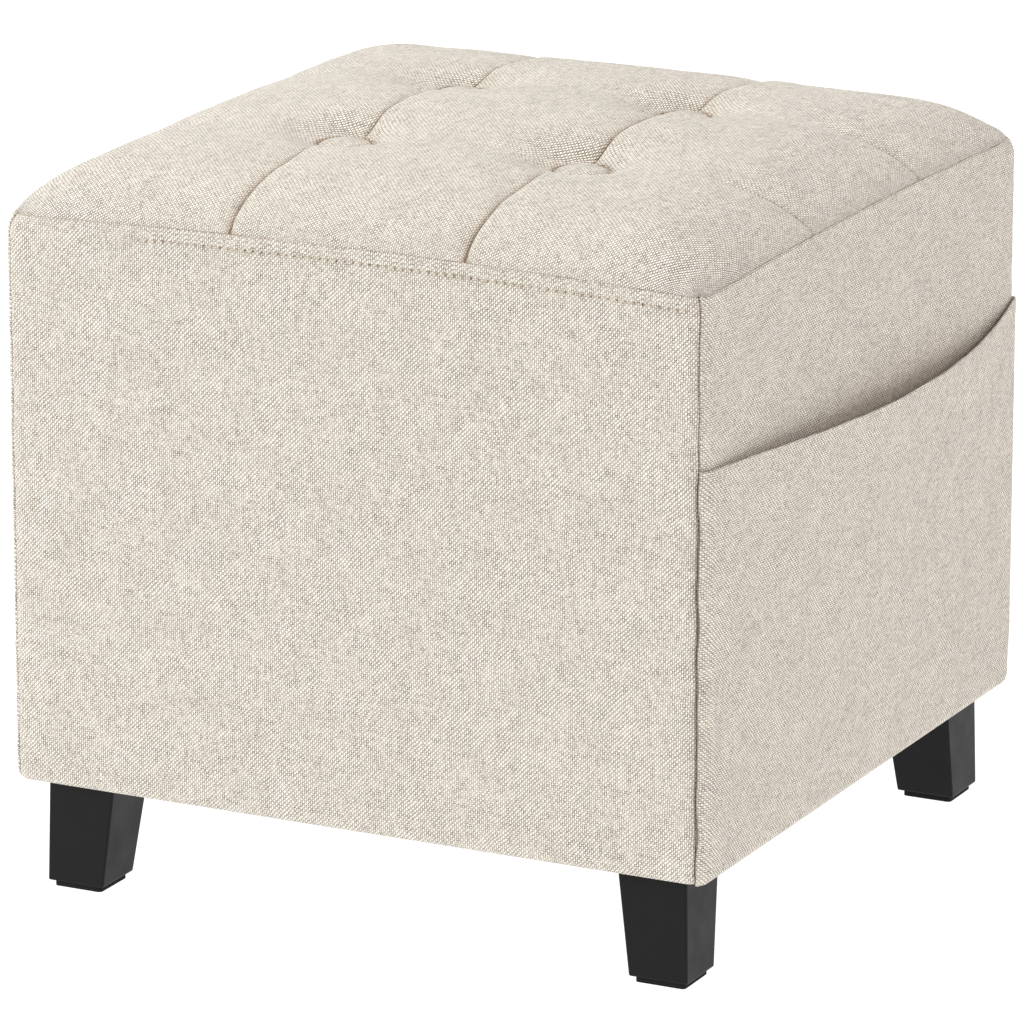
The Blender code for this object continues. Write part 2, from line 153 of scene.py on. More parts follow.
def make_piece(name, points, faces, flat, material, painted_shade, strain_and_painted_light=None):
    """A mesh piece in the frame, with its cloth map, the painted shade at each point, and its strain and
    painted light.
    """
    place = np.asarray(points, float).reshape(-1, 3) + (CENTRE_X, 0.0, 0.0)
    mesh = bpy.data.meshes.new(name)
    mesh.from_pydata(place.tolist(), [], faces)
    mesh.validate()
    corner_points = np.empty(len(mesh.loops), int)
    mesh.loops.foreach_get("vertex_index", corner_points)
    layer = mesh.uv_layers.new(name="cloth")
    layer.data.foreach_set("uv", np.asarray(flat, float).reshape(-1, 2)[corner_points].ravel())
    for label, values in (("painted_shade", painted_shade), ("strain_and_painted_light", strain_and_painted_light)):
        if values is not None:
            mesh.attributes.new(label, "FLOAT", "POINT").data.foreach_set("value", np.ravel(values))
    mesh.shade_smooth()
    mesh.set_sharp_from_angle(angle=SHARP_ANGLE)
    mesh.materials.append(material)
    piece = add_object(name, mesh)
    print(f"{name}: {sum(len(face.vertices) - 2 for face in mesh.polygons)} triangles")
    return piece


def hand_over(piece, *nodes, slot):
    """Let a piece ride on the stool's one body and stand for CAD nodes."""
    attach(piece, "root")
    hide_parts(*nodes)


# %% [markdown]
# ## Colours and nodes
# Colours are written as sRGB hex, the way a colour picker shows them, and shaders work in linear
# light. One function turns one into the other. Another adds a node with its settings and links.
# A socket is told by its place where several share a name. A Mix node takes numbers at inputs 2
# and 3, or colours at 6 and 7, whose mix comes out at output 2. A Map Range node takes the old
# range at inputs 1 and 2 and the new one at 3 and 4.

# %% Helpers for materials


def linear(code):
    """An sRGB hex colour as linear RGBA."""
    parts = [int(code[i:i + 2], 16) / 255.0 for i in (0, 2, 4)]
    return (*(p / 12.92 if p <= 0.04045 else ((p + 0.055) / 1.055) ** 2.4 for p in parts), 1.0)


def feed(tree, node, inputs):
    """Set a node's inputs: each to a value, to a socket, or to another node's first output."""
    for key, value in inputs.items():
        if isinstance(value, bpy.types.Node):
            value = value.outputs[0]
        if isinstance(value, bpy.types.NodeSocket):
            tree.links.new(value, node.inputs[key])
        else:
            node.inputs[key].default_value = value


def add_node(tree, kind, inputs=None, **settings):
    """Add a node: settings are its properties, and inputs are what feeds it."""
    node = tree.nodes.new(kind)
    for name, value in settings.items():
        setattr(node, name, value)
    feed(tree, node, inputs or {})
    return node


def new_material(name):
    """A new material, its node tree and its Principled shader."""
    material = bpy.data.materials.new(name)
    material.use_nodes = True
    return material, material.node_tree, material.node_tree.nodes["Principled BSDF"]


print("the middle grey 808080 gives back", round(linear("808080")[0], 3), "of the light that white does")

# %% [markdown]
# ## Linen-look cloth
# The real cloth is polyester spun and woven to look like linen: a plain weave, one thread over and
# one under, of slubby cream yarns about 1.2 mm apart. Two things make it read as linen. Each
# thread changes its thickness and tone slowly along its length, and the tiny gaps where four
# threads meet are dark. Both are worked out per thread: the whole part of the place on the cloth
# names the thread, and the fraction gives the place across it. The yarns' twist is painted on as
# faint diagonal lines of light and shade, in patches. Where the cloth is strained the gaps open
# and more of this painted light and shade shows.
# A tiled picture of cloth would be quicker, but its repeats show on a wide panel. A weave from
# formulas never repeats, and it keeps its scale on every piece.

# %% Sizes and colours of the weave
THREAD_PITCH = 1.2 * MM
WANDER = 1.60 * MM          # how far threads stray sideways
WANDER_SIZE = 30.0 * MM
SLUB_LENGTH = 10.0 * MM
SLUB_SWELL = 0.16           # how much thicker a slub is than the thinnest yarn
SLUB_SHADE = (0.81, 1.08)   # tone of the darkest and of the palest stretches of yarn
YARN_ROUND = 0.65           # below 1, a yarn is flatter on top than a half wave
YARN_LEVEL = 0.62
YARN_SWING = 0.34           # how far a yarn rises over the others and dips under them
THREADS_APART = 5.37        # how far apart two neighbours read the noise, so that they are unlike
TWIST_PAINTED_LIGHT = 0.22          # how much painted light and shade the twist's diagonal lines give, where they meet
PAINTED_TWIST_PATCH = 28.0 * MM
STRAIN_PAINTED_LIGHT = 0.40         # how much more of the twist's painted light and shade shows where the cloth is strained
STRAIN_GAP = 0.04
PACKING = 0.30              # how unevenly the crossings are packed
GAP_HEIGHTS = (0.22, 0.62)  # a point of the weave this low is all gap, and this high all yarn
RELIEF = 0.42 * MM          # height of the weave, for its bump
MOTTLE_SIZE = 22.0 * MM
WARP_COLOUR = linear("FBF6EC")
WEFT_COLOUR = linear("DDD3C4")
GAP_COLOUR = linear("4A3828")
PAINTED_SHADE_COLOUR = linear("A8855E")      # brown of the painted shade, in folds, creases, seams, needle holes and above the pocket's mouth
print(f"threads {1000 * THREAD_PITCH:.1f} mm apart, slubs about {1000 * SLUB_LENGTH:.0f} mm long")

# %% Linen-look plain weave


def weave_group():
    """A node group: a place on the cloth in metres and its strain with painted light go in, a colour with
    painted light and shade and a height come out.
    """
    tree = bpy.data.node_groups.new("plain_weave", "ShaderNodeTree")
    for label, way, kind in (("Cloth", "INPUT", "Vector"), ("Strain and painted light", "INPUT", "Float"),
                             ("Colour", "OUTPUT", "Color"), ("Height", "OUTPUT", "Float")):
        tree.interface.new_socket(label, in_out=way, socket_type=f"NodeSocket{kind}")
    given = add_node(tree, "NodeGroupInput").outputs
    cloth = given["Cloth"]

    # Threads stray a little, and are numbered by the whole part of their place.
    stray = add_node(tree, "ShaderNodeTexNoise", {"Vector": cloth, "Scale": 1.0 / WANDER_SIZE, "Detail": 3.0,
                                                   "Roughness": 0.75})
    centred = add_node(tree, "ShaderNodeVectorMath", {0: stray.outputs["Color"], 1: (0.5, 0.5, 0.5)},
                       operation="SUBTRACT")
    shift = add_node(tree, "ShaderNodeVectorMath", {0: centred, "Scale": 2.0 * WANDER}, operation="SCALE")
    strayed = add_node(tree, "ShaderNodeVectorMath", {0: cloth, 1: shift}, operation="ADD")
    threads = add_node(tree, "ShaderNodeVectorMath", {0: strayed, "Scale": 1.0 / THREAD_PITCH},
                       operation="SCALE")
    index = add_node(tree, "ShaderNodeVectorMath", {0: threads}, operation="FLOOR")
    index_xy = add_node(tree, "ShaderNodeSeparateXYZ", {0: index})
    cloth_xy = add_node(tree, "ShaderNodeSeparateXYZ", {0: cloth})

    # Half a sine wave is one thread's width, and its sign says which of two neighbours it is.
    turns = add_node(tree, "ShaderNodeVectorMath", {0: threads, "Scale": math.pi}, operation="SCALE")
    waves = add_node(tree, "ShaderNodeVectorMath", {0: turns}, operation="SINE")
    widths = add_node(tree, "ShaderNodeVectorMath", {0: waves}, operation="ABSOLUTE")
    signs = add_node(tree, "ShaderNodeVectorMath", {0: waves}, operation="SIGN")
    wave_xy = add_node(tree, "ShaderNodeSeparateXYZ", {0: waves})
    width_xy = add_node(tree, "ShaderNodeSeparateXYZ", {0: widths})
    sign_xy = add_node(tree, "ShaderNodeSeparateXYZ", {0: signs})

    heights = []
    tones = []
    for own, other, over, seed in (("X", "Y", 1.0, 3.0), ("Y", "X", -1.0, 11.0)):
        numbered = add_node(tree, "ShaderNodeMath", {0: index_xy.outputs[own], 1: THREADS_APART},
                            operation="MULTIPLY")
        along = add_node(tree, "ShaderNodeMath", {0: cloth_xy.outputs[other], 1: 1.0 / SLUB_LENGTH},
                         operation="MULTIPLY")
        place = add_node(tree, "ShaderNodeCombineXYZ", {0: numbered, 1: along, 2: seed})
        slub = add_node(tree, "ShaderNodeTexNoise", {"Vector": place, "Scale": 1.0, "Detail": 2.0})
        tone = add_node(tree, "ShaderNodeMapRange", {0: slub, 1: 0.25, 2: 0.75, 3: 0.0, 4: 1.0})
        # A thread is round across, and rises and dips along its length as it goes over and under.
        round_top = add_node(tree, "ShaderNodeMath", {0: width_xy.outputs[own], 1: YARN_ROUND},
                             operation="POWER")
        swing = add_node(tree, "ShaderNodeMath", {0: wave_xy.outputs[other], 1: sign_xy.outputs[own]},
                         operation="MULTIPLY")
        level = add_node(tree, "ShaderNodeMath", {0: swing, 1: YARN_SWING * over, 2: YARN_LEVEL},
                         operation="MULTIPLY_ADD")
        thick = add_node(tree, "ShaderNodeMath", {0: tone, 1: SLUB_SWELL, 2: 1.0 - SLUB_SWELL / 2.0},
                         operation="MULTIPLY_ADD")
        raised = add_node(tree, "ShaderNodeMath", {0: round_top, 1: level}, operation="MULTIPLY")
        heights.append(add_node(tree, "ShaderNodeMath", {0: raised, 1: thick}, operation="MULTIPLY"))
        tones.append(tone)

    # The higher yarn is seen, and a slub of it is paler.
    height = add_node(tree, "ShaderNodeMath", {0: heights[0], 1: heights[1]}, operation="MAXIMUM")
    lead = add_node(tree, "ShaderNodeMath", {0: heights[0], 1: heights[1]}, operation="SUBTRACT")
    warp_on_top = add_node(tree, "ShaderNodeMapRange", {0: lead, 1: -0.1, 2: 0.1, 3: 0.0, 4: 1.0})
    yarn = add_node(tree, "ShaderNodeMix", {"Factor": warp_on_top, 6: WEFT_COLOUR, 7: WARP_COLOUR},
                    data_type="RGBA")
    tone = add_node(tree, "ShaderNodeMix", {"Factor": warp_on_top, 2: tones[1], 3: tones[0]})
    shade = add_node(tree, "ShaderNodeMapRange", {0: tone, 1: 0.0, 2: 1.0, 3: SLUB_SHADE[0],
                                                  4: SLUB_SHADE[1]})

    # Painted light and shade: both yarns are twisted the same way, so here and there lighter and darker bands
    # are painted on one diagonal.
    thread_xy = add_node(tree, "ShaderNodeSeparateXYZ", {0: turns})
    across = add_node(tree, "ShaderNodeMath", {0: thread_xy.outputs["X"], 1: thread_xy.outputs["Y"]},
                      operation="SUBTRACT")
    diagonal = add_node(tree, "ShaderNodeMath", {0: across}, operation="COSINE")
    patches = add_node(tree, "ShaderNodeTexNoise", {"Vector": cloth, "Scale": 1.0 / PAINTED_TWIST_PATCH,
                                                    "Detail": 2.0})
    patchy = add_node(tree, "ShaderNodeMapRange", {0: patches, 1: 0.36, 2: 0.62, 3: 0.04, 4: TWIST_PAINTED_LIGHT})
    depth = add_node(tree, "ShaderNodeMath", {0: given["Strain and painted light"], 1: STRAIN_PAINTED_LIGHT, 2: patchy},
                     operation="MULTIPLY_ADD")
    twist = add_node(tree, "ShaderNodeMath", {0: diagonal, 1: depth, 2: 1.0}, operation="MULTIPLY_ADD")
    lit = add_node(tree, "ShaderNodeMath", {0: shade, 1: twist}, operation="MULTIPLY")
    toned = add_node(tree, "ShaderNodeVectorMath", {0: yarn.outputs[2], "Scale": lit}, operation="SCALE")

    # Each crossing is packed a little more or less tightly than the next.
    chance = add_node(tree, "ShaderNodeTexWhiteNoise", {"Vector": index})
    packed = add_node(tree, "ShaderNodeMath", {0: chance.outputs["Value"], 1: PACKING, 2: -PACKING / 2.0},
                      operation="MULTIPLY_ADD")
    opened = add_node(tree, "ShaderNodeMath", {0: given["Strain and painted light"], 1: -STRAIN_GAP, 2: packed},
                      operation="MULTIPLY_ADD")
    filled = add_node(tree, "ShaderNodeMath", {0: height, 1: opened}, operation="ADD")
    closed = add_node(tree, "ShaderNodeMapRange", {0: filled, 1: GAP_HEIGHTS[0], 2: GAP_HEIGHTS[1],
                                                   3: 0.0, 4: 1.0}, interpolation_type="SMOOTHSTEP")
    colour = add_node(tree, "ShaderNodeMix", {"Factor": closed, 6: GAP_COLOUR, 7: toned}, data_type="RGBA")
    add_node(tree, "NodeGroupOutput", {"Colour": colour.outputs[2], "Height": height})
    return tree


WEAVE = weave_group()
print("made the group", WEAVE.name, "with", len(WEAVE.nodes), "nodes")

# %% The cloth's material


def linen_look_cloth():
    """Matte woven cloth, with a faint fuzz of loose fibres that catches light at grazing angles."""
    material, tree, shader = new_material("linen_look_plain_weave")
    place = add_node(tree, "ShaderNodeUVMap", uv_map="cloth")
    strain_and_painted_light = add_node(tree, "ShaderNodeAttribute", attribute_name="strain_and_painted_light")
    painted_shade = add_node(tree, "ShaderNodeAttribute", attribute_name="painted_shade")
    weave = add_node(tree, "ShaderNodeGroup", {"Cloth": place, "Strain and painted light": strain_and_painted_light.outputs["Fac"]},
                     node_tree=WEAVE)
    # Fading and dust: a soft mottle, larger than any thread.
    mottle = add_node(tree, "ShaderNodeTexNoise", {"Vector": place, "Scale": 1.0 / MOTTLE_SIZE,
                                                   "Detail": 3.0})
    shade = add_node(tree, "ShaderNodeMapRange", {0: mottle, 1: 0.3, 2: 0.7, 3: 0.955, 4: 1.03})
    colour = add_node(tree, "ShaderNodeVectorMath", {0: weave.outputs["Colour"], "Scale": shade},
                      operation="SCALE")
    # Painted shade: the cloth is darkened towards a brown in folds, creases, seams, needle holes and above
    # the pocket's mouth.
    with_painted_shade = add_node(tree, "ShaderNodeMix", {"Factor": painted_shade.outputs["Fac"], 6: colour, 7: PAINTED_SHADE_COLOUR},
                      data_type="RGBA", blend_type="MULTIPLY")
    relief = add_node(tree, "ShaderNodeBump", {"Height": weave.outputs["Height"], "Strength": 1.0,
                                               "Distance": RELIEF})
    feed(tree, shader, {"Base Color": with_painted_shade.outputs[2], "Normal": relief, "Roughness": 0.93, "IOR": 1.45,
                        "Specular IOR Level": 0.25, "Sheen Weight": 0.10, "Sheen Roughness": 0.5})
    return material


LINEN = linen_look_cloth()
print("made the material", LINEN.name)

# %% [markdown]
# ## The seam under the seat
# Four panels and the seat meet in one seam all round the body. It is lowest at the corners and
# arches a few millimetres along each side, because the padding pushes the middle up. It could be
# drawn into each piece by itself, but one function that they all call keeps their edges together.

# %% Seam height
SEAM_CORNER = 366.5 * MM
SEAM_ARCH = 4.5 * MM


def seam_height(x, y):
    """Height of the seam above the floor."""
    across = 1.0 - np.minimum(1.0, np.abs(x) / HALF) ** 2
    along = 1.0 - np.minimum(1.0, np.abs(y) / HALF) ** 2
    return SEAM_CORNER + SEAM_ARCH * (across + along)


print(f"seam at the corners {1000 * seam_height(HALF, HALF):.1f} mm,",
      f"midway {1000 * seam_height(0, HALF):.1f} mm")

# %% [markdown]
# ## The tufted seat
# Four buttons pull the cover down. Cloth that is pulled down at points has too much width
# between them, and an upholsterer lays that spare width in pleats: here two sharp ones from the
# front seam to the back seam, each with its right side lapped over its left. Across the seat the
# spare length is a soft channel. Beside each button its front pillow laps over the back one, and
# where it meets the side seams it is a sharp crease.
# It could be sculpted by hand, but each button, pleat and channel has its measured place. So it is
# a grid of points whose height adds up from named forms. The next cells give them one by one: the
# crown, the wells round the buttons, the channels and the pleats.

# %% Rim and crown
RIM = HALF - 0.6 * MM
RIM_CORNER = 9.5 * MM       # radius of the seat's corners, seen from above
EDGE_REACH = 53.0 * MM      # how far in from the seam the crown rises
EDGE_POWER = 0.60
SHOULDER = 390.0 * MM       # height of the crown where it stops rising steeply
DOME = 13.5 * MM            # how much higher its middle is
DOME_POWER = 1.5
CORNER_DROP = 14.0 * MM     # how much lower it is at its corners
CORNER_REACH = 45.0 * MM
CORNER_POWER = 2.0
CORNER_DRAW = 4.6 * MM      # how far the seam is drawn in at the body's corners
FRONT_RIGHT_DRAW = 0.8 * MM
CORNER_DRAW_REACH = 16.0 * MM


def edge_rise(distance):
    """Share of the crown reached at a distance in from the seam."""
    return (1.0 - (1.0 - np.clip(distance / EDGE_REACH, 0.0, 1.0)) ** 2) ** EDGE_POWER


def corner_share(from_side, from_end):
    """How much of the corner's extra drop applies, from 0 inside the seat to 1 at the corner itself."""
    near_side = 1.0 - np.clip(from_side / CORNER_REACH, 0.0, 1.0)
    near_end = 1.0 - np.clip(from_end / CORNER_REACH, 0.0, 1.0)
    return (near_side * near_end) ** CORNER_POWER


def from_corner(x, y):
    """Distance to the nearest upright corner of the body."""
    return np.hypot(HALF - np.abs(x), HALF - np.abs(y))


def corner_draw(x, y):
    """How far the seam is drawn in towards the body's middle, most at the four corners."""
    draw = np.where((x > 0.0) & (y < 0.0), FRONT_RIGHT_DRAW, CORNER_DRAW)
    return draw * bump(from_corner(x, y), CORNER_DRAW_REACH)


print(f"seat rim {2000 * RIM:.1f} mm across, its crown {1000 * (SHOULDER + DOME):.1f} mm high")

# %% Where the tufting runs
CHANNEL_Y = {"front": -70.0 * MM, "back": 64.0 * MM}
BUTTON_X = {
    ("front", "left"): -68.0 * MM,
    ("front", "right"): 69.0 * MM,
    ("back", "left"): -69.0 * MM,
    ("back", "right"): 64.0 * MM,
}
SIDES = {"left": -1, "right": 1}
PLEAT_X = 68.0 * MM
PLEAT_Y = np.array((-200.0, -95.0, -57.0, 50.0, 78.0, 200.0)) * MM
PLEAT_PATH = {
    "left": np.array((-66.0, -70.0, -65.5, -69.0, -69.0, -67.0)) * MM,
    "right": np.array((67.6, 63.8, 67.3, 66.7, 64.0, 69.0)) * MM,
}


def pleat_x(side, y):
    """Where a side's pleat runs, from the front seam past its two buttons to the back seam."""
    return np.interp(y, PLEAT_Y, PLEAT_PATH[side])


def from_buttons(x, y):
    """For each button, its name and how far points lie to the right of it and behind it."""
    return [((end, side), x - bx, y - CHANNEL_Y[end]) for (end, side), bx in BUTTON_X.items()]


def tuft_distance(x, y):
    """Distance to the nearest button."""
    return np.min([np.hypot(dx, dy) for _, dx, dy in from_buttons(x, y)], axis=0)


front_meets = [round(1000 * float(pleat_x(side, -RIM)), 1) for side in SIDES]
print("pleats meet the front seam at x =", front_meets, "mm")

# %% Wells round the buttons
BRIM_HEIGHT = 390.8 * MM    # how high the wells' brims lie
WELL_RADIUS = 14.5 * MM
# How far each well slopes outside its radius: to the front, to either side and to the back.
WELL_REACH = {"front": (12.0 * MM, 15.0 * MM, 19.8 * MM), "back": (15.0 * MM, 15.0 * MM, 19.8 * MM)}
WELL_POWER = 1.9
DISH_RADIUS = 11.5 * MM     # the dish that a button lies in
DISH_SLOPE = 3.0 * MM
DISH_DEPTH = 5.2 * MM


def well_rise(x, y):
    """Share of the pillows' height reached around the buttons: 0 at a button, 1 well away from all."""
    share = np.ones_like(x)
    for (end, _), dx, dy in from_buttons(x, y):
        away = np.hypot(dx, dy)
        aim = dy / np.maximum(away, 1e-9)
        to_front, to_side, to_back = WELL_REACH[end]
        reach = to_side + np.where(aim < 0.0, to_front - to_side, to_back - to_side) * aim ** 2
        share = share * (1.0 - np.exp(-(np.maximum(0.0, away - WELL_RADIUS) / reach) ** WELL_POWER))
    return share


print("front wells slope over", [round(1000 * reach, 1) for reach in WELL_REACH["front"]],
      "mm to the front, to the sides and to the back")

# %% Channels, folds and creases
CHANNEL_DEPTH = 2.0 * MM
CHANNEL_REACH = 27.0 * MM
FOLD_DEPTH = 3.2 * MM
FOLD_ROLL = 6.0 * MM        # how far the front pillow's edge rolls over
FOLD_REACH = 13.0 * MM
FOLD_START = 12.0 * MM      # how far from its button a fold reaches its full depth
FOLD_LENGTH = {"left": 40.0 * MM, "right": 58.0 * MM}    # how far each runs to its button's left
FOLD_FADE = 0.6             # share of that length over which it fades out
TAIL_LENGTH = 30.0 * MM     # how far it runs to its button's right
TAIL_FADE = 16.0 * MM
TAIL_SHARE = 0.35
CREASE_FROM = 138.0 * MM    # a channel turns into a crease from here to the side seam
CREASE_FADE = 26.0 * MM
CREASE_DEPTH = 2.4 * MM
CREASE_SHARP = 0.7          # how much of a crease is sharp, while the rest is soft
CREASE_REACH = 1.2 * MM
CREASE_SOFT_REACH = 7.2 * MM
CREASE_FOLD = 0.5


def fold_strength(x, end):
    """How far the front pillow laps over the back one along x: most on the left of each button."""
    strength = np.zeros_like(x)
    for side in SIDES:
        length = FOLD_LENGTH[side]
        from_button = BUTTON_X[end, side] - x
        ahead = ease(from_button / FOLD_START) * ease((length - from_button) / (FOLD_FADE * length))
        tail = ease(-from_button / FOLD_START) * ease((TAIL_LENGTH + from_button) / TAIL_FADE)
        strength = np.maximum(strength, np.maximum(ahead, TAIL_SHARE * tail))
    return strength


def near_seam(x):
    """How near the side seams a point is: 0 over most of the seat, 1 close to them."""
    return ease((np.abs(x) - CREASE_FROM) / CREASE_FADE)


def channel_drop(x, y, end):
    """How far one channel lowers the seat: its hollow, the fold beside its buttons and its creases."""
    offset = y - CHANNEL_Y[end]
    hollow = CHANNEL_DEPTH * (1.0 - (x / RIM) ** 2) * bump(offset, CHANNEL_REACH)
    roll = 1.0 - np.sin(np.clip(-offset / FOLD_ROLL, 0.0, 1.0) * math.pi / 2.0)
    fold = np.where(offset < 0.0, roll, np.exp(-np.abs(offset) / FOLD_REACH))
    fold = FOLD_DEPTH * np.maximum(fold_strength(x, end), CREASE_FOLD * near_seam(x)) * fold
    crease = CREASE_SHARP * np.exp(-np.abs(offset) / CREASE_REACH)
    crease = crease + (1.0 - CREASE_SHARP) * bump(offset, CREASE_SOFT_REACH)
    return hollow + fold + CREASE_DEPTH * near_seam(x) * crease


by_button = np.array([BUTTON_X["front", "left"] - FOLD_START])
print("left of the front left button the channel lowers the seat by",
      round(1000 * float(channel_drop(by_button, CHANNEL_Y["front"], "front")[0]), 1), "mm")

# %% The seat's height


def seat_height(x, y, from_side, from_end):
    """Height of the seat cover without its pleats, with the distances in from its seams."""
    across = 1.0 - (x / RIM) ** 2
    along = np.maximum(0.0, 1.0 - (y / RIM) ** 2)
    pillows = SHOULDER + DOME * across * along ** DOME_POWER
    pillows = pillows - sum(channel_drop(x, y, end) for end in CHANNEL_Y)
    pillows = pillows - CORNER_DROP * corner_share(from_side, from_end)
    pillows = BRIM_HEIGHT + well_rise(x, y) * (pillows - BRIM_HEIGHT)
    seam = seam_height(x, y)
    height = seam + edge_rise(from_side) * edge_rise(from_end) * (pillows - seam)
    return height - DISH_DEPTH * (1.0 - ease((tuft_distance(x, y) - DISH_RADIUS) / DISH_SLOPE))


print("middle of the seat, before it settles:",
      round(1000 * float(seat_height(np.zeros(1), np.zeros(1), RIM, RIM)[0]), 1), "mm high")

# %% Pleats
PLEAT_LAP = 3.6 * MM        # width of the roll on the lapped side
PLEAT_OVERHANG = 1.1 * MM
PLEAT_CREVICE = 3.4 * MM
PLEAT_CREVICE_REACH = 0.8 * MM
PLEAT_DEPTH = 2.6 * MM
PLEAT_REACH = 8.0 * MM
PLEAT_FADE = 9.0 * MM       # how far outside a button's dish a pleat is at its full depth


def pleat_profile(offset):
    """Sideways place and depth of a pleat's cloth: its right side laps over its left as a small roll."""
    turn = np.clip(offset / PLEAT_LAP, 0.0, 1.0) * math.pi / 2.0
    rolled = PLEAT_LAP * (1.0 - np.cos(turn)) - PLEAT_OVERHANG * np.sin(2.0 * turn)
    place = np.where((offset >= 0.0) & (offset <= PLEAT_LAP), rolled, offset)
    crevice = PLEAT_CREVICE * np.exp(np.minimum(offset, 0.0) / PLEAT_CREVICE_REACH)
    slope = PLEAT_DEPTH * np.exp(np.minimum(offset, 0.0) / PLEAT_REACH)
    lapped = (PLEAT_CREVICE + PLEAT_DEPTH) * (1.0 - np.sin(turn))
    return place, np.where(offset < 0.0, crevice + slope, lapped)


def pleat_strength(x, y):
    """How deep the pleats are: 0 at the buttons, where they end, and 1 away from them."""
    return ease((tuft_distance(x, y) - DISH_RADIUS) / PLEAT_FADE)


def lap_pleat(x, y, side):
    """Sideways shift and drop of the points at one pleat."""
    offset = x - pleat_x(side, y)
    place, depth = pleat_profile(offset)
    strength = pleat_strength(x, y)
    return strength * (place - offset), strength * depth


def pleat_cloth(x, y, side):
    """How much more cloth lies in a pleat than across it, counted towards it from either side."""
    offsets = np.linspace(-5.0 * PLEAT_REACH, PLEAT_LAP, 2001)
    place, depth = pleat_profile(offsets)
    spare = running_sum(np.hypot(np.diff(place), np.diff(depth)) - np.diff(offsets))
    offset = x - pleat_x(side, y)
    counted = np.interp(offset, offsets, spare)
    return pleat_strength(x, y) * np.where(offset < -1e-6, counted, counted - spare[-1])


both_sides = pleat_cloth(pleat_x("left", 0.0) + np.array((-0.01, 0.0)) * MM, np.zeros(2), "left")
print("a pleat takes up", round(1000 * float(both_sides[0] - both_sides[1]), 1), "mm of spare cloth")

# %% Where shade is painted on the cover, and where it is strained and shows painted light
# Painted shade: brown darkening in the pleats, the side creases, a ring at each button's edge and a patch
# beside it.
DIMPLE_PAINTED_SHADE = 0.13
DIMPLE_PAINTED_SHADE_AT = (-4.0 * MM, 12.0 * MM)       # to the right of each button and behind it
DIMPLE_PAINTED_SHADE_REACH = 18.0 * MM
BUTTON_EDGE_PAINTED_SHADE = 0.8             # in the ring where a button sinks into the cover
BUTTON_EDGE_PAINTED_SHADE_REACH = 1.3 * MM
PLEAT_PAINTED_SHADE_REACH = 1.6 * MM
LAP_PAINTED_SHADE_REACH = 2.0 * MM
CREASE_PAINTED_SHADE = 0.5
CREASE_PAINTED_SHADE_REACH = 0.9 * MM
# Strain opens the weave's gaps a little and shows more of its painted light and shade: behind the buttons and
# at the corners.
CORNER_STRAIN_AND_PAINTED_LIGHT = 0.8
CORNER_PAINTED_LIGHT_REACH = 50.0 * MM
BUTTON_STRAIN_AND_PAINTED_LIGHT_AT = (-10.0 * MM, 17.0 * MM)
BUTTON_PAINTED_LIGHT_REACH = 20.0 * MM


def patch(dx, dy, at, reach):
    """A round patch of strength 1, at a place that is counted from a button."""
    return bump(np.hypot(dx - at[0], dy - at[1]), reach)


def seat_painted_shade(x, y):
    """How much painted shade the cloth gets: in the pleats, in the side creases and round the buttons."""
    layers = []
    for _, dx, dy in from_buttons(x, y):
        layers.append(DIMPLE_PAINTED_SHADE * patch(dx, dy, DIMPLE_PAINTED_SHADE_AT, DIMPLE_PAINTED_SHADE_REACH))
        layers.append(BUTTON_EDGE_PAINTED_SHADE * bump(np.hypot(dx, dy) - WELL_RADIUS, BUTTON_EDGE_PAINTED_SHADE_REACH))
    for side in SIDES:
        offset = x - pleat_x(side, y)
        in_pleat = np.where(offset < 0.0, np.exp(np.minimum(offset, 0.0) / PLEAT_PAINTED_SHADE_REACH),
                            1.0 - np.clip(offset / LAP_PAINTED_SHADE_REACH, 0.0, 1.0))
        layers.append(pleat_strength(x, y) * in_pleat)
    for channel_y in CHANNEL_Y.values():
        layers.append(CREASE_PAINTED_SHADE * near_seam(x) * np.exp(-np.abs(y - channel_y) / CREASE_PAINTED_SHADE_REACH))
    return np.max(layers, axis=0)


def seat_strain_and_painted_light(x, y):
    """How far the cloth is pulled open and how much more of the twist's painted light and shade it shows,
    from 0 to 1: most behind each button and at the four corners.
    """
    layers = [CORNER_STRAIN_AND_PAINTED_LIGHT * bump(from_corner(x, y), CORNER_PAINTED_LIGHT_REACH)]
    for _, dx, dy in from_buttons(x, y):
        layers.append(patch(dx, dy, BUTTON_STRAIN_AND_PAINTED_LIGHT_AT, BUTTON_PAINTED_LIGHT_REACH))
    return np.max(layers, axis=0)


# Both shares printed here are of painted shade.
print(f"soil at a button's edge {BUTTON_EDGE_PAINTED_SHADE:.0%}, in its dimple {DIMPLE_PAINTED_SHADE:.0%}")

# %% Fine wrinkles of the cover
RAY_HEIGHT = 0.28 * MM
RAYS = 7.0                  # round each button
RAY_AT = 20.0 * MM          # how far from the button's middle they are strongest
RAY_REACH = 9.0 * MM
SEAT_PUCKERS = {"height": 0.30 * MM, "wavelength": 17.0 * MM, "middle": 5.0 * MM, "reach": 6.0 * MM}
SWELL_HEIGHT = 0.35 * MM
SWELL_SIZES = (61.0 * MM, 53.0 * MM)
SWELL_FADE = 25.0 * MM


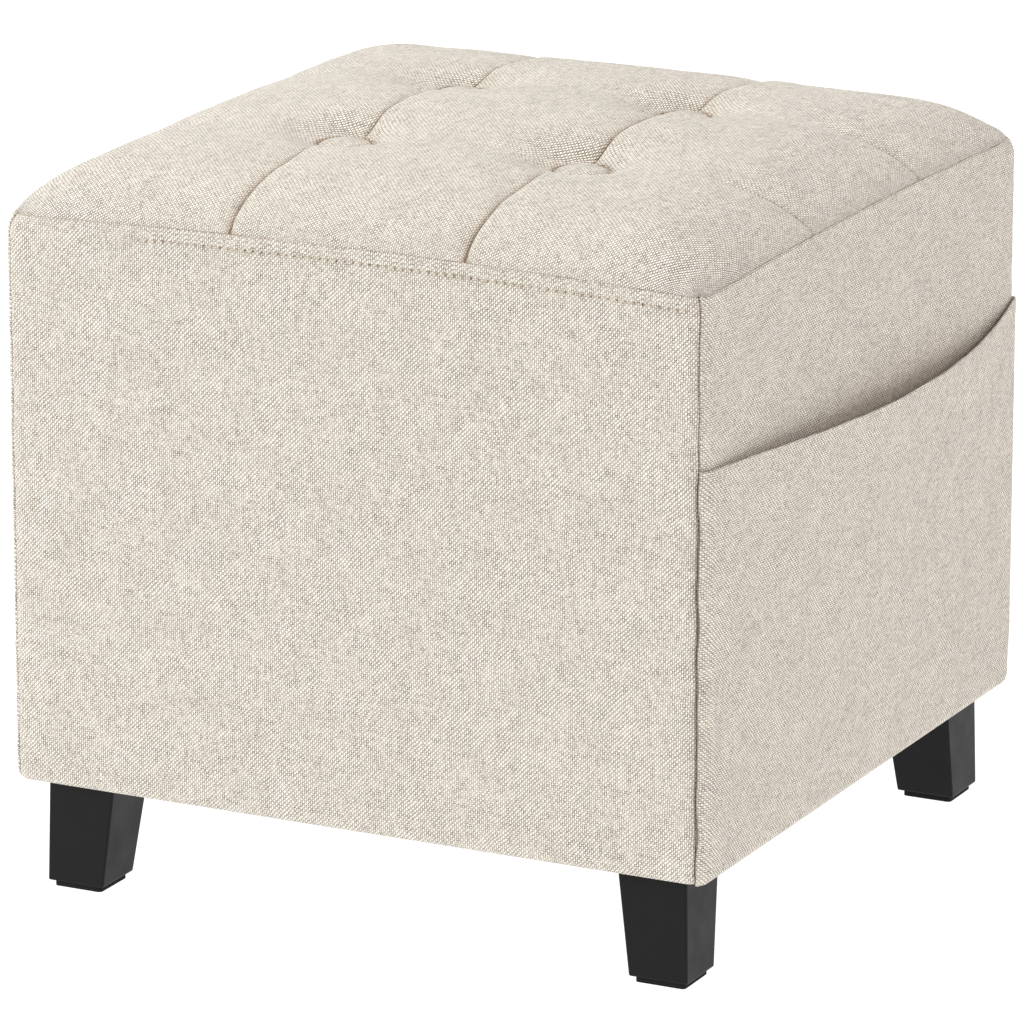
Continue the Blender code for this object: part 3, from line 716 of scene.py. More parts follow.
def seat_wrinkles(x, y, from_edge):
    """Fine relief of the seat cover: puckers along the seam and faint rays round the buttons."""
    rays = np.zeros_like(x)
    # Each button's rays start at another angle.
    for (end, side), dx, dy in from_buttons(x, y):
        phase = (7.0 * BUTTON_X[end, side] + 3.0 * CHANNEL_Y[end]) / PLEAT_X
        rays = rays + np.cos(RAYS * np.arctan2(dy, dx) + phase) * bump(np.hypot(dx, dy) - RAY_AT, RAY_REACH)
    along_edge = np.where(np.abs(x) > np.abs(y), y, x)
    seam_puckers = puckers(along_edge, from_edge, 5, **SEAT_PUCKERS)
    swell = ripple(x + 0.6 * y, SWELL_SIZES[0], 8) * ripple(y - 0.4 * x, SWELL_SIZES[1], 9)
    return RAY_HEIGHT * rays + seam_puckers + SWELL_HEIGHT * swell * ease(from_edge / SWELL_FADE)


print(f"{RAYS:.0f} rays round each button, {1000 * RAY_HEIGHT:.2f} mm high")

# %% The seat's grid of points
SEAT_STEP = 2.1 * MM
SEAM_FADE = 3.0 * MM        # all relief fades out over this distance to the seam


def lean_with_pleats(x, y):
    """Move a grid line sideways with the nearer pleat, less and less away from it."""
    lean = np.zeros(np.broadcast(x, y).shape)
    for side, sign in SIDES.items():
        share = np.minimum(np.abs(x) / PLEAT_X, (RIM - np.abs(x)) / (RIM - PLEAT_X))
        lean = np.where(sign * x >= 0.0, share * (pleat_x(side, y) - sign * PLEAT_X), lean)
    return x + lean


def round_corners(x, y, half, radius):
    """Draw the points of a square's corners in to the arcs that round them."""
    over_x = np.abs(x) - (half - radius)
    over_y = np.abs(y) - (half - radius)
    at_corner = (over_x > 0.0) & (over_y > 0.0)
    scale = np.maximum(over_x, over_y) / np.maximum(np.hypot(over_x, over_y), 1e-9)
    new_x = np.where(at_corner, np.sign(x) * (half - radius + over_x * scale), x)
    new_y = np.where(at_corner, np.sign(y) * (half - radius + over_y * scale), y)
    return new_x, new_y


def upward_normals(points):
    """Unit normals of a grid of points, on its upper side."""
    cross = np.cross(np.gradient(points, axis=1), np.gradient(points, axis=0))
    return cross / np.maximum(np.linalg.norm(cross, axis=-1, keepdims=True), 1e-12)


def graded_through(places, step):
    """Lines from the first place to the last, crowded together at each."""
    parts = [graded(start, end, step)[:-1] for start, end in zip(places, places[1:])]
    return np.concatenate((*parts, [places[-1]]))


def seat_points(step):
    """The seat cover's grid of points, with its lines at most a step apart."""
    lines_x = graded_through((-RIM, -PLEAT_X, PLEAT_X, RIM), step)
    lines_y = graded_through((-RIM, CHANNEL_Y["front"], CHANNEL_Y["back"], RIM), step)
    flat_x, flat_y = np.meshgrid(lines_x, lines_y)
    lean_x = lean_with_pleats(flat_x, flat_y)
    from_side = RIM - np.abs(lean_x)
    from_end = RIM - np.abs(flat_y)
    from_edge = np.minimum(from_side, from_end)
    x, y = round_corners(lean_x, flat_y, RIM, RIM_CORNER)
    points = np.stack((x, y, seat_height(x, y, from_side, from_end)), -1)
    draw = corner_draw(x, y) / RIM_CORNER
    points[..., 0] -= draw * np.sign(x) * np.maximum(0.0, np.abs(x) - (RIM - RIM_CORNER))
    points[..., 1] -= draw * np.sign(y) * np.maximum(0.0, np.abs(y) - (RIM - RIM_CORNER))
    normals = upward_normals(points)
    relief = seat_wrinkles(x, y, from_edge)
    shift = np.zeros_like(x)
    for side in SIDES:
        pleat_shift, pleat_drop = lap_pleat(lean_x, flat_y, side)
        shift = shift + pleat_shift
        relief = relief - pleat_drop
    fade = ease(from_edge / SEAM_FADE)
    points = points + normals * (relief * fade)[..., None]
    points[..., 0] += shift * fade
    spare = sum(pleat_cloth(lean_x, flat_y, side) for side in SIDES)
    return points, lines_x, lines_y, (spare, seat_painted_shade(lean_x, flat_y), seat_strain_and_painted_light(x, y))


seat_grid, seat_lines_x, seat_lines_y, (seat_spare, painted_seat_shade, strained_and_lit_seat) = seat_points(SEAT_STEP)
print("seat grid:", seat_grid.shape[:2], "points, top at", round(1000 * seat_grid[..., 2].max(), 1), "mm")

# %% [markdown]
# ## Settling the cover over its filling
# A formula alone gives pillows that are too even. So the cover is settled with Blender's cloth
# simulation: a coarse copy of the grid is pinned along the seam, the pleats and the buttons, air
# pressure pushes it up from below, and gravity stays off. The few tenths of a millimetre that it
# moves, held under a cap, are then added to the fine grid.

# %% Cloth simulation of the seat cover
SETTLE_STEP = 5.0 * MM
SETTLE_CAP = 1.6 * MM
SETTLE_FRAMES = 20
SETTLE_PRESSURE = 4.0
SETTLE_QUALITY = 6          # steps of the solver in each frame
PIN_REACH = 3.0 * MM        # how near the seam or a pleat a point is pinned
PIN_RADIUS = 19.0 * MM      # and how near a button


def settle(points, pinned):
    """How far each point of a grid moves when its cloth is blown up gently from below."""
    rows, columns = points.shape[:2]
    mesh = bpy.data.meshes.new("settling")
    mesh.from_pydata(points.reshape(-1, 3).tolist(), [], grid_faces(rows, columns))
    cover = add_object("settling", mesh)
    pins = cover.vertex_groups.new(name="pins")
    pins.add(np.flatnonzero(pinned.ravel()).tolist(), 1.0, "REPLACE")
    cloth = cover.modifiers.new("cloth", "CLOTH")
    cloth.settings.vertex_group_mass = "pins"
    cloth.settings.use_pressure = True
    cloth.settings.uniform_pressure_force = SETTLE_PRESSURE
    cloth.settings.effector_weights.gravity = 0.0
    cloth.settings.quality = SETTLE_QUALITY
    cloth.point_cache.frame_start = 1
    cloth.point_cache.frame_end = SETTLE_FRAMES
    for step in range(1, SETTLE_FRAMES + 1):
        bpy.context.scene.frame_set(step)
    settled = cover.evaluated_get(bpy.context.evaluated_depsgraph_get())
    moved = np.empty(len(mesh.vertices) * 3)
    settled.data.vertices.foreach_get("co", moved)
    bpy.data.objects.remove(cover, do_unlink=True)
    bpy.context.scene.frame_set(1)
    move = moved.reshape(points.shape) - points
    length = np.linalg.norm(move, axis=-1, keepdims=True)
    return move * np.minimum(1.0, SETTLE_CAP / np.maximum(length, 1e-9))


def spread(values, from_x, from_y, to_x, to_y):
    """Read a coarse grid of values at a finer grid's lines."""
    wide = np.stack([np.interp(to_x, from_x, row) for row in values])
    return np.stack([np.interp(to_y, from_y, column) for column in wide.T], axis=1)


coarse, coarse_x, coarse_y, _ = seat_points(SETTLE_STEP)
cx, cy = coarse[..., 0], coarse[..., 1]
at_pleat = np.min([np.abs(cx - pleat_x(side, cy)) for side in SIDES], axis=0) < PIN_REACH
at_edge = RIM - np.maximum(np.abs(cx), np.abs(cy)) < PIN_REACH
at_button = tuft_distance(cx, cy) < PIN_RADIUS
moves = settle(coarse, at_pleat | at_edge | at_button)
print("settled: mean", round(1000 * float(np.abs(moves[..., 2]).mean()), 2), "mm, most",
      round(1000 * float(np.linalg.norm(moves, axis=-1).max()), 2), "mm")
for axis in range(3):
    seat_grid[..., axis] += spread(moves[..., axis], coarse_x, coarse_y, seat_lines_x, seat_lines_y)

# %% [markdown]
# ## Closing the seat
# The cover turns under its rim and goes down inside the four panels. A Solidify modifier would
# make a thin shell of it, but a filled pad is one closed body, so three more rings of points and
# a flat underside close it.

# %% The seat cover's mesh
PLUG_HALF = HALF - 12.5 * MM
RIM_TUCK = 0.8 * MM
TUCK_RISE = 0.35 * MM       # how far the turned-under rim lies above the seam
TUCK_CLOTH = (1.0 * MM, 12.0 * MM, 44.0 * MM)    # cloth from the rim to each ring of points below it
SEAT_PULL = 1.20            # how far the seat's threads are pulled apart from front to back


def border_index(rows, columns):
    """The outer loop of a grid, as indices in order."""
    index = np.arange(rows * columns).reshape(rows, columns)
    return np.concatenate((index[0, :-1], index[:-1, -1], index[-1, :0:-1], index[:0:-1, 0]))


def crown_run(lines):
    """Lengths along the crowned cloth at grid lines, from the middle: longer than across it at the edges."""
    rise = (PAD_TOP - SEAM_CORNER) * edge_rise(RIM - np.abs(lines))
    run = running_sum(np.hypot(np.diff(lines), np.diff(rise)))
    return run - np.interp(0.0, lines, run)


def make_seat():
    """The seat cover, closed below by its turned-under rim and its plug."""
    rows, columns = seat_grid.shape[:2]
    top = seat_grid.reshape(-1, 3)
    # The cloth map comes from the plain crown and the spare cloth in the pleats, so that threads run
    # straight past every other fold.
    flat_u, flat_v = np.meshgrid(crown_run(seat_lines_x), crown_run(seat_lines_y))
    flat = np.stack((flat_u + seat_spare, flat_v / SEAT_PULL), -1).reshape(-1, 2)
    rim = border_index(rows, columns)
    count = len(rim)
    rings = []
    for scale, lower in (((RIM - RIM_TUCK) / RIM, 0.0), (PLUG_HALF / RIM, 0.0), (PLUG_HALF / RIM, 1.0)):
        ring = top[rim] * (scale, scale, 1.0)
        seam = seam_height(ring[:, 0], ring[:, 1]) + TUCK_RISE
        ring[:, 2] = seam * (1.0 - lower) + PAD_UNDERSIDE * lower
        rings.append(ring)
    outward = np.sign(top[rim][:, :2])
    flats = [flat] + [flat[rim] + outward * run for run in TUCK_CLOTH]
    faces = grid_faces(rows, columns)
    loops = [rim] + [len(top) + count * k + np.arange(count) for k in range(3)]
    for upper, lower in zip(loops, loops[1:]):
        quads = np.stack((np.roll(upper, -1), upper, lower, np.roll(lower, -1)), -1)
        faces += [tuple(quad) for quad in quads.tolist()]
    faces.append(tuple(loops[-1][::-1].tolist()))
    # The painted shade, and the strain with its painted light, for the top; none below the rim.
    painted_shade, strain_and_painted_light = (np.concatenate((values.ravel(), np.zeros(3 * count)))
                    for values in (painted_seat_shade, strained_and_lit_seat))
    return make_piece("seat_cover", np.concatenate([top, *rings]), faces, np.concatenate(flats), LINEN,
                      painted_shade, strain_and_painted_light)


seat = make_seat()
hand_over(seat, "seat_pad", slot="linen_cloth")

# %% [markdown]
# ## Covered buttons
# A covered button is a metal dome with a disc of the same cloth drawn over it and gathered under
# its edge. Each is one turned outline, with small gathers where the cloth goes under. A Screw
# modifier could turn it, but the gathers change the radius along each ring, and the cloth map
# needs the run of the cloth, so the rings are written point by point.

# %% Buttons
BUTTON_RADIUS = 14.5 * MM
BUTTON_TOP = 393.0 * MM
BUTTON_DOME = 4.5 * MM
BUTTON_RIM = 3.0 * MM
BUTTON_UNDERCUT = 2.5 * MM
BUTTON_TURNS = 72
BUTTON_RINGS = 14
GATHERS = 22
GATHER_DEPTH = 0.14 * MM
GATHER_FROM = 0.75          # share of the radius where the gathers start
# Painted shade: each button's cloth is darkened a little all over.
BUTTON_PAINTED_SHADE = 0.03


def make_button(end, side):
    """One covered button, from the tip of its dome to its flat underside."""
    arc = np.linspace(0.0, math.pi / 2.0, BUTTON_RINGS + 1)[1:]
    radii = np.concatenate((BUTTON_RADIUS * np.sin(arc), [BUTTON_RADIUS - BUTTON_UNDERCUT]))
    heights = np.concatenate((-BUTTON_DOME * (1.0 - np.cos(arc)), [-BUTTON_DOME - BUTTON_RIM]))
    run = running_sum(np.hypot(np.diff(radii), np.diff(heights))) + radii[0]
    turn = np.linspace(0.0, 2.0 * math.pi, BUTTON_TURNS, endpoint=False)
    gathered = GATHER_DEPTH * ease((radii / BUTTON_RADIUS - GATHER_FROM) / (1.0 - GATHER_FROM))
    radius = radii[:, None] + gathered[:, None] * (np.cos(GATHERS * turn) - 1.0)[None, :]
    x = BUTTON_X[end, side] + radius * np.cos(turn)
    y = CHANNEL_Y[end] + radius * np.sin(turn)
    z = np.broadcast_to((BUTTON_TOP + heights)[:, None], x.shape)
    rings = np.stack((x, y, z), -1).reshape(-1, 3)
    points = np.concatenate((rings, [(BUTTON_X[end, side], CHANNEL_Y[end], BUTTON_TOP)]))
    flat = np.stack((run[:, None] * np.cos(turn), run[:, None] * np.sin(turn)), -1).reshape(-1, 2)
    flat = np.concatenate((flat, [(0.0, 0.0)]))
    tip = len(rings)
    faces = [(tip, i, (i + 1) % BUTTON_TURNS) for i in range(BUTTON_TURNS)]
    rows = len(radii)
    faces += [face[::-1] for face in grid_faces(rows, BUTTON_TURNS, closed=True)]
    faces.append(tuple(range((rows - 1) * BUTTON_TURNS, rows * BUTTON_TURNS))[::-1])
    name = f"button_{end}_{side}"
    button = make_piece(f"covered_{name}", points, faces, flat, LINEN, np.full(len(points), BUTTON_PAINTED_SHADE))
    hand_over(button, name, slot="linen_cloth")


for end, side in BUTTON_X:
    make_button(end, side)

# %% [markdown]
# ## Padded panels
# Each side of the body is a panel of cloth over thin padding. The front and back ones wrap round
# the upright corners to a seam on the side, where the side panel's edge is folded in and makes a
# fine, slightly wavy lip. Below the seat, the front panel is topstitched: the stitches draw it in,
# and each needle hole is a small dent. A panel is swept along the body's outline: its stations are
# lengths along the cloth, its rows are heights, and a relief is added square to the surface. A
# bevelled box would be simpler, but it has no points where the lips and needle holes need them.

# %% Sizes of the panels
PANEL_THICKNESS = 12.0 * MM
CORNER_RADIUS = 10.5 * MM
BOTTOM_ROUND = 5.0 * MM
TOP_ROUND = 0.6 * MM
ROUND_STEPS = 6
GAP = 0.3 * MM              # between two panels at their seam
FRONT_WRAP = math.radians(40.0)
SIDE_WRAP = math.pi / 2.0 - FRONT_WRAP
MITRE_DEPTH = CORNER_RADIUS + (PANEL_THICKNESS - CORNER_RADIUS) / math.cos(SIDE_WRAP)
RUN = HALF - CORNER_RADIUS  # from a panel's middle to where it starts to wrap
PANEL_STEP = 2.4 * MM
SEAM_STEP = 0.3 * MM        # finest step along the cloth, at the upright seams
ROW_STEP = 3.2 * MM
STITCHED_ROW_STEP = 1.2 * MM
SEAM_WAVE = 0.35 * MM       # how far an upright seam strays sideways
SEAM_WAVE_LENGTH = 38.0 * MM
STITCH_PITCH = 4.75 * MM
STITCH_DROP = 7.6 * MM
STITCH_FIRST = -25          # first and last needle hole, counted from the middle
STITCH_LAST = 40
COLUMNS_PER_STITCH = 5
print(f"topstitched row: {STITCH_LAST - STITCH_FIRST} stitches, {1000 * STITCH_PITCH:.2f} mm apart")

# %% A panel's outline


def face_stations(wrap, stitched):
    """Lengths along a panel's cloth from its middle, close together at its two edges."""
    end = RUN + CORNER_RADIUS * wrap
    if not stitched:
        return graded(-end, end, PANEL_STEP, finest=SEAM_STEP)
    step = STITCH_PITCH / COLUMNS_PER_STITCH
    whole = math.floor(RUN / step)
    middle = step * np.arange(-whole, whole + 1)
    outer = graded(whole * step, end, step, finest=SEAM_STEP)[1:]
    return np.concatenate((-outer[::-1], middle, outer))


def stand(stations, wrap, z, radius):
    """Points (s, t) of a panel at its stations, at a radius from the corner's centre line."""
    wave = SEAM_WAVE * ripple(z, SEAM_WAVE_LENGTH, 4) * (1.0 if wrap == FRONT_WRAP else -1.0)
    over = np.maximum(0.0, np.abs(stations) - RUN)
    arc = CORNER_RADIUS * wrap
    turn = np.sign(stations) * (over / CORNER_RADIUS) * (1.0 + wave / arc)
    s = np.clip(stations, -RUN, RUN) + radius * np.sin(turn)
    t = RUN + radius * np.cos(turn)
    back = -0.5 * GAP * np.sign(stations) * (over >= arc - 1e-9)
    return s + back * np.cos(turn), t - back * np.sin(turn)


def to_body(s, t, outward):
    """Body x, y of a face's points (s, t), for a face that looks along the angle outward."""
    return t * math.cos(outward) - s * math.sin(outward), t * math.sin(outward) + s * math.cos(outward)


def to_upright_seam(stations, wrap):
    """Distance along the cloth to a panel's nearer upright seam."""
    return RUN + CORNER_RADIUS * wrap - np.abs(stations)


for label, wrap in (("front", FRONT_WRAP), ("side", SIDE_WRAP)):
    print(f"a {label} panel's cloth is {2000 * to_upright_seam(0.0, wrap):.1f} mm wide, seam to seam")

# %% Relief of a panel
BULGE = 0.5 * MM
BULGE_FADE = 12.0 * MM      # over this distance to the upright seams
UNEVEN = 0.16 * MM
UNEVEN_SIZES = (83.0 * MM, 97.0 * MM)
TOP_PUCKERS = {"height": 0.20 * MM, "wavelength": 15.0 * MM, "middle": 4.0 * MM, "reach": 9.0 * MM}
SIDE_PUCKERS = {"height": 0.14 * MM, "wavelength": 19.0 * MM, "middle": 3.0 * MM, "reach": 8.0 * MM}
SIDE_GROOVE = 0.75 * MM     # along an upright seam
SIDE_GROOVE_REACH = 0.7 * MM
TOP_GROOVE = 0.25 * MM      # along the seam under the seat
TOP_GROOVE_REACH = 0.9 * MM
LIP_HEIGHT = 0.55 * MM      # of a side panel's folded edge, at its upright seams
LIP_AT = 1.5 * MM
TOP_LIP_HEIGHT = 0.44 * MM  # and at the seam under the seat
TOP_LIP_AT = 1.4 * MM
LIP_REACH = 0.9 * MM
DRAW_HEIGHT = 10.0 * MM     # how far below the seam a corner starts to turn in


def panel_relief(stations, below_seam, z, wrap, seed):
    """Relief of a panel, square to its surface: padding, puckers, and its sewn edges."""
    edge = to_upright_seam(stations, wrap)
    height = (z - BODY_BOTTOM) / (SEAM_CORNER - BODY_BOTTOM)
    swell = BULGE * (1.0 - (stations / HALF) ** 4) * (1.0 - np.clip(2.0 * height - 1.0, -1.0, 1.0) ** 4)
    uneven = ripple(stations + 0.3 * z, UNEVEN_SIZES[0], seed) * ripple(z, UNEVEN_SIZES[1], seed + 1)
    top_puckers = puckers(stations, below_seam, seed + 2, **TOP_PUCKERS)
    side_puckers = puckers(z, edge, seed + 3, **SIDE_PUCKERS)
    groove = -SIDE_GROOVE * bump(edge, SIDE_GROOVE_REACH) - TOP_GROOVE * bump(below_seam, TOP_GROOVE_REACH)
    relief = swell * ease(edge / BULGE_FADE) + UNEVEN * uneven + top_puckers + side_puckers + groove
    if wrap == SIDE_WRAP:
        relief = relief + LIP_HEIGHT * bump(edge - LIP_AT, LIP_REACH)
        relief = relief + TOP_LIP_HEIGHT * bump(below_seam - TOP_LIP_AT, LIP_REACH)
    return relief


def turn_in(stations, below_seam, wrap, outward):
    """How far a panel's surface turns in towards the drawn-in seam, near its top corners."""
    s, t = stand(stations, wrap, np.full_like(stations, SEAM_CORNER), CORNER_RADIUS)
    share = 1.0 - np.clip(below_seam / DRAW_HEIGHT, 0.0, 1.0)
    return corner_draw(*to_body(s, t, outward)) * share ** 2


print(f"panels swell {1000 * BULGE:.1f} mm, and their folded edges stand {1000 * LIP_HEIGHT:.2f} mm proud")

# %% The topstitched row
TROUGH_DEPTH = 0.22 * MM
TROUGH_REACH = 1.5 * MM
HOLE_DEPTH = 1.25 * MM
HOLE_REACH = 0.58 * MM
# Painted shade in the needle holes, in step with how deep the row is dented.
HOLE_PAINTED_SHADE = 0.8
HOLE_PULLS = (0.55, 1.0)    # shares of that depth at the slackest and at the tightest stitch
HOLE_SEED = 71
BANK_HEIGHT = 0.16 * MM     # how far the cloth rises again on either side of the row
BANK_AT = 3.6 * MM
BANK_REACH = 2.0 * MM


def stitch_relief(stations, below_seam):
    """The topstitched row: a shallow trough with a dent at each needle hole."""
    from_row = below_seam - STITCH_DROP
    hole = np.round(stations / STITCH_PITCH).astype(int)
    from_hole = stations - hole * STITCH_PITCH
    sewn = (hole >= STITCH_FIRST) & (hole <= STITCH_LAST)
    pulls = np.random.default_rng(HOLE_SEED).uniform(*HOLE_PULLS, STITCH_LAST - STITCH_FIRST + 1)
    pull = pulls[np.clip(hole - STITCH_FIRST, 0, len(pulls) - 1)] * sewn
    row = ease((stations / STITCH_PITCH - STITCH_FIRST + 2.0) / 2.0)
    trough = -TROUGH_DEPTH * bump(from_row, TROUGH_REACH) * row
    holes = -HOLE_DEPTH * pull * bump(from_hole, HOLE_REACH) * bump(from_row, HOLE_REACH)
    banks = BANK_HEIGHT * bump(np.abs(from_row) - BANK_AT, BANK_REACH) * row
    return trough + holes + banks


print("needle holes are", [round(1000 * HOLE_DEPTH * pull, 2) for pull in HOLE_PULLS], "mm deep")

# %% Where the pocket's rim runs, and the panel behind it
RIM_END = 277.25 * MM
RIM_SCOOP = 13.0 * MM
RIM_LEAN = 0.38
RIM_POWER = 2.4
MOUTH_HOLLOW = 0.1 * MM     # how far the panel gives way behind the pocket's mouth
MOUTH_REACH = 26.0 * MM
MOUTH_DEPTH = 90.0 * MM     # how far down inside the pocket that goes on
MOUTH_LEAN = 0.5            # how much more it gives way towards the back
# Painted shade on the panel above the pocket's mouth, fading upwards and down inside.
MOUTH_PAINTED_SHADE = 0.16


def pocket_rim(share):
    """Height of the rim at a share -1 to 1 of its run: a scoop, lowest towards the back."""
    leaned = share - RIM_LEAN * (1.0 - share ** 2)
    return RIM_END - RIM_SCOOP * (1.0 - np.abs(leaned) ** RIM_POWER)


def mouth_share(stations, z):
    """How near the pocket's mouth a point of the panel is: 1 at the rim, 0 well above it."""
    share = np.clip(stations / RUN, -1.0, 1.0)
    above = z - pocket_rim(share)
    fade = np.where(above > 0.0, bump(above, MOUTH_REACH), ease(1.0 + above / MOUTH_DEPTH))
    return fade * (1.0 - share ** 2) * (1.0 + MOUTH_LEAN * share)


rim_heights = [round(1000 * float(pocket_rim(share)), 1) for share in (-1.0, 0.0, 1.0)]
print("pocket rim at its front end, middle and back end:", rim_heights, "mm high")

# %% Faces and back of a panel
# Painted shade along the seams, in a narrow band.
SEAM_PAINTED_SHADE = 0.35
SEAM_PAINTED_SHADE_REACH = 0.5 * MM
BOTTOM_FADE = 8.0 * MM      # relief fades out over this distance to the bottom edge


def turned_cloth(flat_u, flat_v, turned):
    """The cloth map of a piece, with the cloth turned a quarter where it was cut across."""
    return np.stack((-flat_v, flat_u) if turned else (flat_u, flat_v), -1)


def panel_heights(stitched, seam):
    """Heights of a panel's rows of points at each station, and how far its rounded edges are inset."""
    low_turn = np.linspace(0.0, math.pi / 2.0, ROUND_STEPS + 1)
    high_turn = np.linspace(0.0, math.pi / 2.0, ROUND_STEPS // 2 + 1)
    span = SEAM_CORNER - TOP_ROUND - BODY_BOTTOM - BOTTOM_ROUND
    if stitched:
        row_at = span - STITCH_DROP + TOP_ROUND
        rows = np.concatenate((graded(0.0, row_at, ROW_STEP)[1:-1],
                               graded(row_at, span, STITCHED_ROW_STEP)[:-1]))
    else:
        rows = graded(0.0, span, ROW_STEP)[1:-1]
    low_z = np.tile(BODY_BOTTOM + BOTTOM_ROUND * (1.0 - np.cos(low_turn)), (len(seam), 1))
    face_z = BODY_BOTTOM + BOTTOM_ROUND + rows * (1.0 + (seam - SEAM_CORNER) / span)
    top_z = seam + TOP_ROUND * (np.sin(high_turn) - 1.0)
    inset = (BOTTOM_ROUND * (1.0 - np.sin(low_turn)), np.zeros(len(rows)),
             TOP_ROUND * (1.0 - np.cos(high_turn)))
    return np.concatenate((low_z, face_z, top_z), axis=1), np.concatenate(inset)


def panel_painted_shade(stations, below_seam, wrap):
    """Painted shade in a panel's seams."""
    return SEAM_PAINTED_SHADE * bump(np.minimum(to_upright_seam(stations, wrap), below_seam), SEAM_PAINTED_SHADE_REACH)


def panel_back(stations, wrap, outward):
    """The hidden back of a panel at each station: one point at its top and one at its bottom."""
    depth = CORNER_RADIUS - MITRE_DEPTH
    inner_run = RUN + depth * math.sin(wrap) - 0.5 * GAP
    back_s = np.clip(stations, -inner_run, inner_run)
    x, y = to_body(back_s, np.full_like(back_s, RUN + depth * math.cos(wrap)), outward)
    ends = [np.stack((x, y, z), -1) for z in (seam_height(x, y), np.full_like(x, BODY_BOTTOM))]
    return np.stack(ends, axis=1)


rows = [panel_heights(stitched, np.full((1, 1), SEAM_CORNER))[0].shape[1] for stitched in (False, True)]
print("rows of points in a plain panel and in the topstitched one:", rows)

# %% The four panels


def make_panel(name, wrap, outward, stitched, seed):
    """One padded panel, closed at its back and at its mitred ends."""
    stations = face_stations(wrap, stitched)
    corner_line = stand(stations, wrap, np.full_like(stations, SEAM_CORNER), CORNER_RADIUS)
    seam = seam_height(*to_body(*corner_line, outward))[:, None]
    z, inset = panel_heights(stitched, seam)
    s_grid = np.broadcast_to(stations[:, None], z.shape)
    below = seam - z
    relief = panel_relief(s_grid, below, z, wrap, seed) - turn_in(s_grid, below, wrap, outward)
    # Painted shade: in the seams, in the needle holes and above the pocket's mouth.
    shade_paint = panel_painted_shade(s_grid, below, wrap)
    if stitched:
        row = stitch_relief(s_grid, below)
        relief = relief + row
        shade_paint = np.maximum(shade_paint, np.clip(-HOLE_PAINTED_SHADE * row / HOLE_DEPTH, 0.0, 1.0))
    if name == "right_cover":
        near_mouth = mouth_share(s_grid, z)
        relief = relief - MOUTH_HOLLOW * near_mouth
        shade_paint = np.maximum(shade_paint, MOUTH_PAINTED_SHADE * near_mouth ** 1.5)
    fade = ease((z - BODY_BOTTOM) / BOTTOM_FADE)
    s, t = stand(s_grid, wrap, z, CORNER_RADIUS - inset + relief * fade)
    face = np.stack((*to_body(s, t, outward), z), -1)
    points = np.concatenate((face, panel_back(stations, wrap, outward)), axis=1)
    flat_v = BODY_BOTTOM + run_lengths(points, 1, 0)
    flat_u = np.broadcast_to(stations[:, None], flat_v.shape)
    painted_shade = np.pad(shade_paint, ((0, 0), (0, 2)))
    return make_piece(name, points, closed_tube(*points.shape[:2]),
                      turned_cloth(flat_u, flat_v, wrap == SIDE_WRAP), LINEN, painted_shade)


PANELS = {
    "front": (FRONT_WRAP, -math.pi / 2.0, True, 21),
    "back": (FRONT_WRAP, math.pi / 2.0, False, 31),
    "left": (SIDE_WRAP, math.pi, False, 41),
    "right": (SIDE_WRAP, 0.0, False, 51),
}
for name, (wrap, outward, stitched, seed) in PANELS.items():
    panel = make_panel(f"{name}_cover", wrap, outward, stitched, seed)
    hand_over(panel, f"{name}_panel", slot="linen_cloth")

# %% [markdown]
# ## Side pocket
# The pocket is one more piece of the cloth, sewn into the two corner seams and under the bottom
# edge. Its rim is turned over and scooped, and it stands off the panel most in the middle, where
# things are slid in. It is a sheet with two faces and a rounded fold for a rim. A cloth simulation
# could hang it, but the real one is sewn on three sides and drawn tight, so a formula is enough.

# %% Side pocket: its outer face
POCKET_STAND_OFF = 9.0 * MM
POCKET_SLACK_POWER = 0.8
POCKET_CLOTH = 1.2 * MM
POCKET_OFFSET = 2.3 * MM    # how far its outer face lies off the panel where it is drawn tight
POCKET_LOW_OFFSET = 1.5 * MM
POCKET_OFFSET_FADE = 0.15   # share of its height over which it comes off the panel
POCKET_WAVE = 0.35 * MM
POCKET_WAVE_LENGTH = 71.0 * MM
POCKET_WAVE_FADE = 0.3      # share of its height over which the wave sets in
POCKET_ROW_STEP = 0.012     # as a share of its height
POCKET_FINEST_STEP = 0.003
HEM_HEIGHT = 0.22 * MM      # how far the turned-over rim is proud of the rest
HEM_WIDTH = 9.0 * MM
HEM_SLOPE = 2.0 * MM


def pocket_face(stations, sewn):
    """The pocket's face: its distance out from the corners' centre line, and its height."""
    share = np.clip(stations / RUN, -1.0, 1.0)
    rim = pocket_rim(share)
    start = BODY_BOTTOM + BOTTOM_ROUND
    climb = graded(0.0, 1.0, POCKET_ROW_STEP, finest=POCKET_FINEST_STEP, growth=0.25)[None, 1:]
    z = start + climb * (rim - start)
    lift = np.clip((z - start) / (rim - start), 0.0, 1.0)
    slack = POCKET_STAND_OFF * (1.0 - share ** 2) * lift ** POCKET_SLACK_POWER
    close = POCKET_LOW_OFFSET + (POCKET_OFFSET - POCKET_LOW_OFFSET) * ease(lift / POCKET_OFFSET_FADE)
    ripples = ripple(share * HALF + 0.2 * z, POCKET_WAVE_LENGTH, 61)
    wavy = POCKET_WAVE * ripples * ease(lift / POCKET_WAVE_FADE) * (1.0 - share ** 2)
    hem = HEM_HEIGHT * ease((HEM_WIDTH - (rim - z)) / HEM_SLOPE)
    return CORNER_RADIUS + close + slack + wavy + sewn + hem, z


middle_out, _ = pocket_face(np.zeros((1, 1)), 0.0)
print("in its middle, the pocket's rim stands",
      round(1000 * float(middle_out[0, -1] - CORNER_RADIUS - POCKET_CLOTH), 1), "mm clear of the panel")

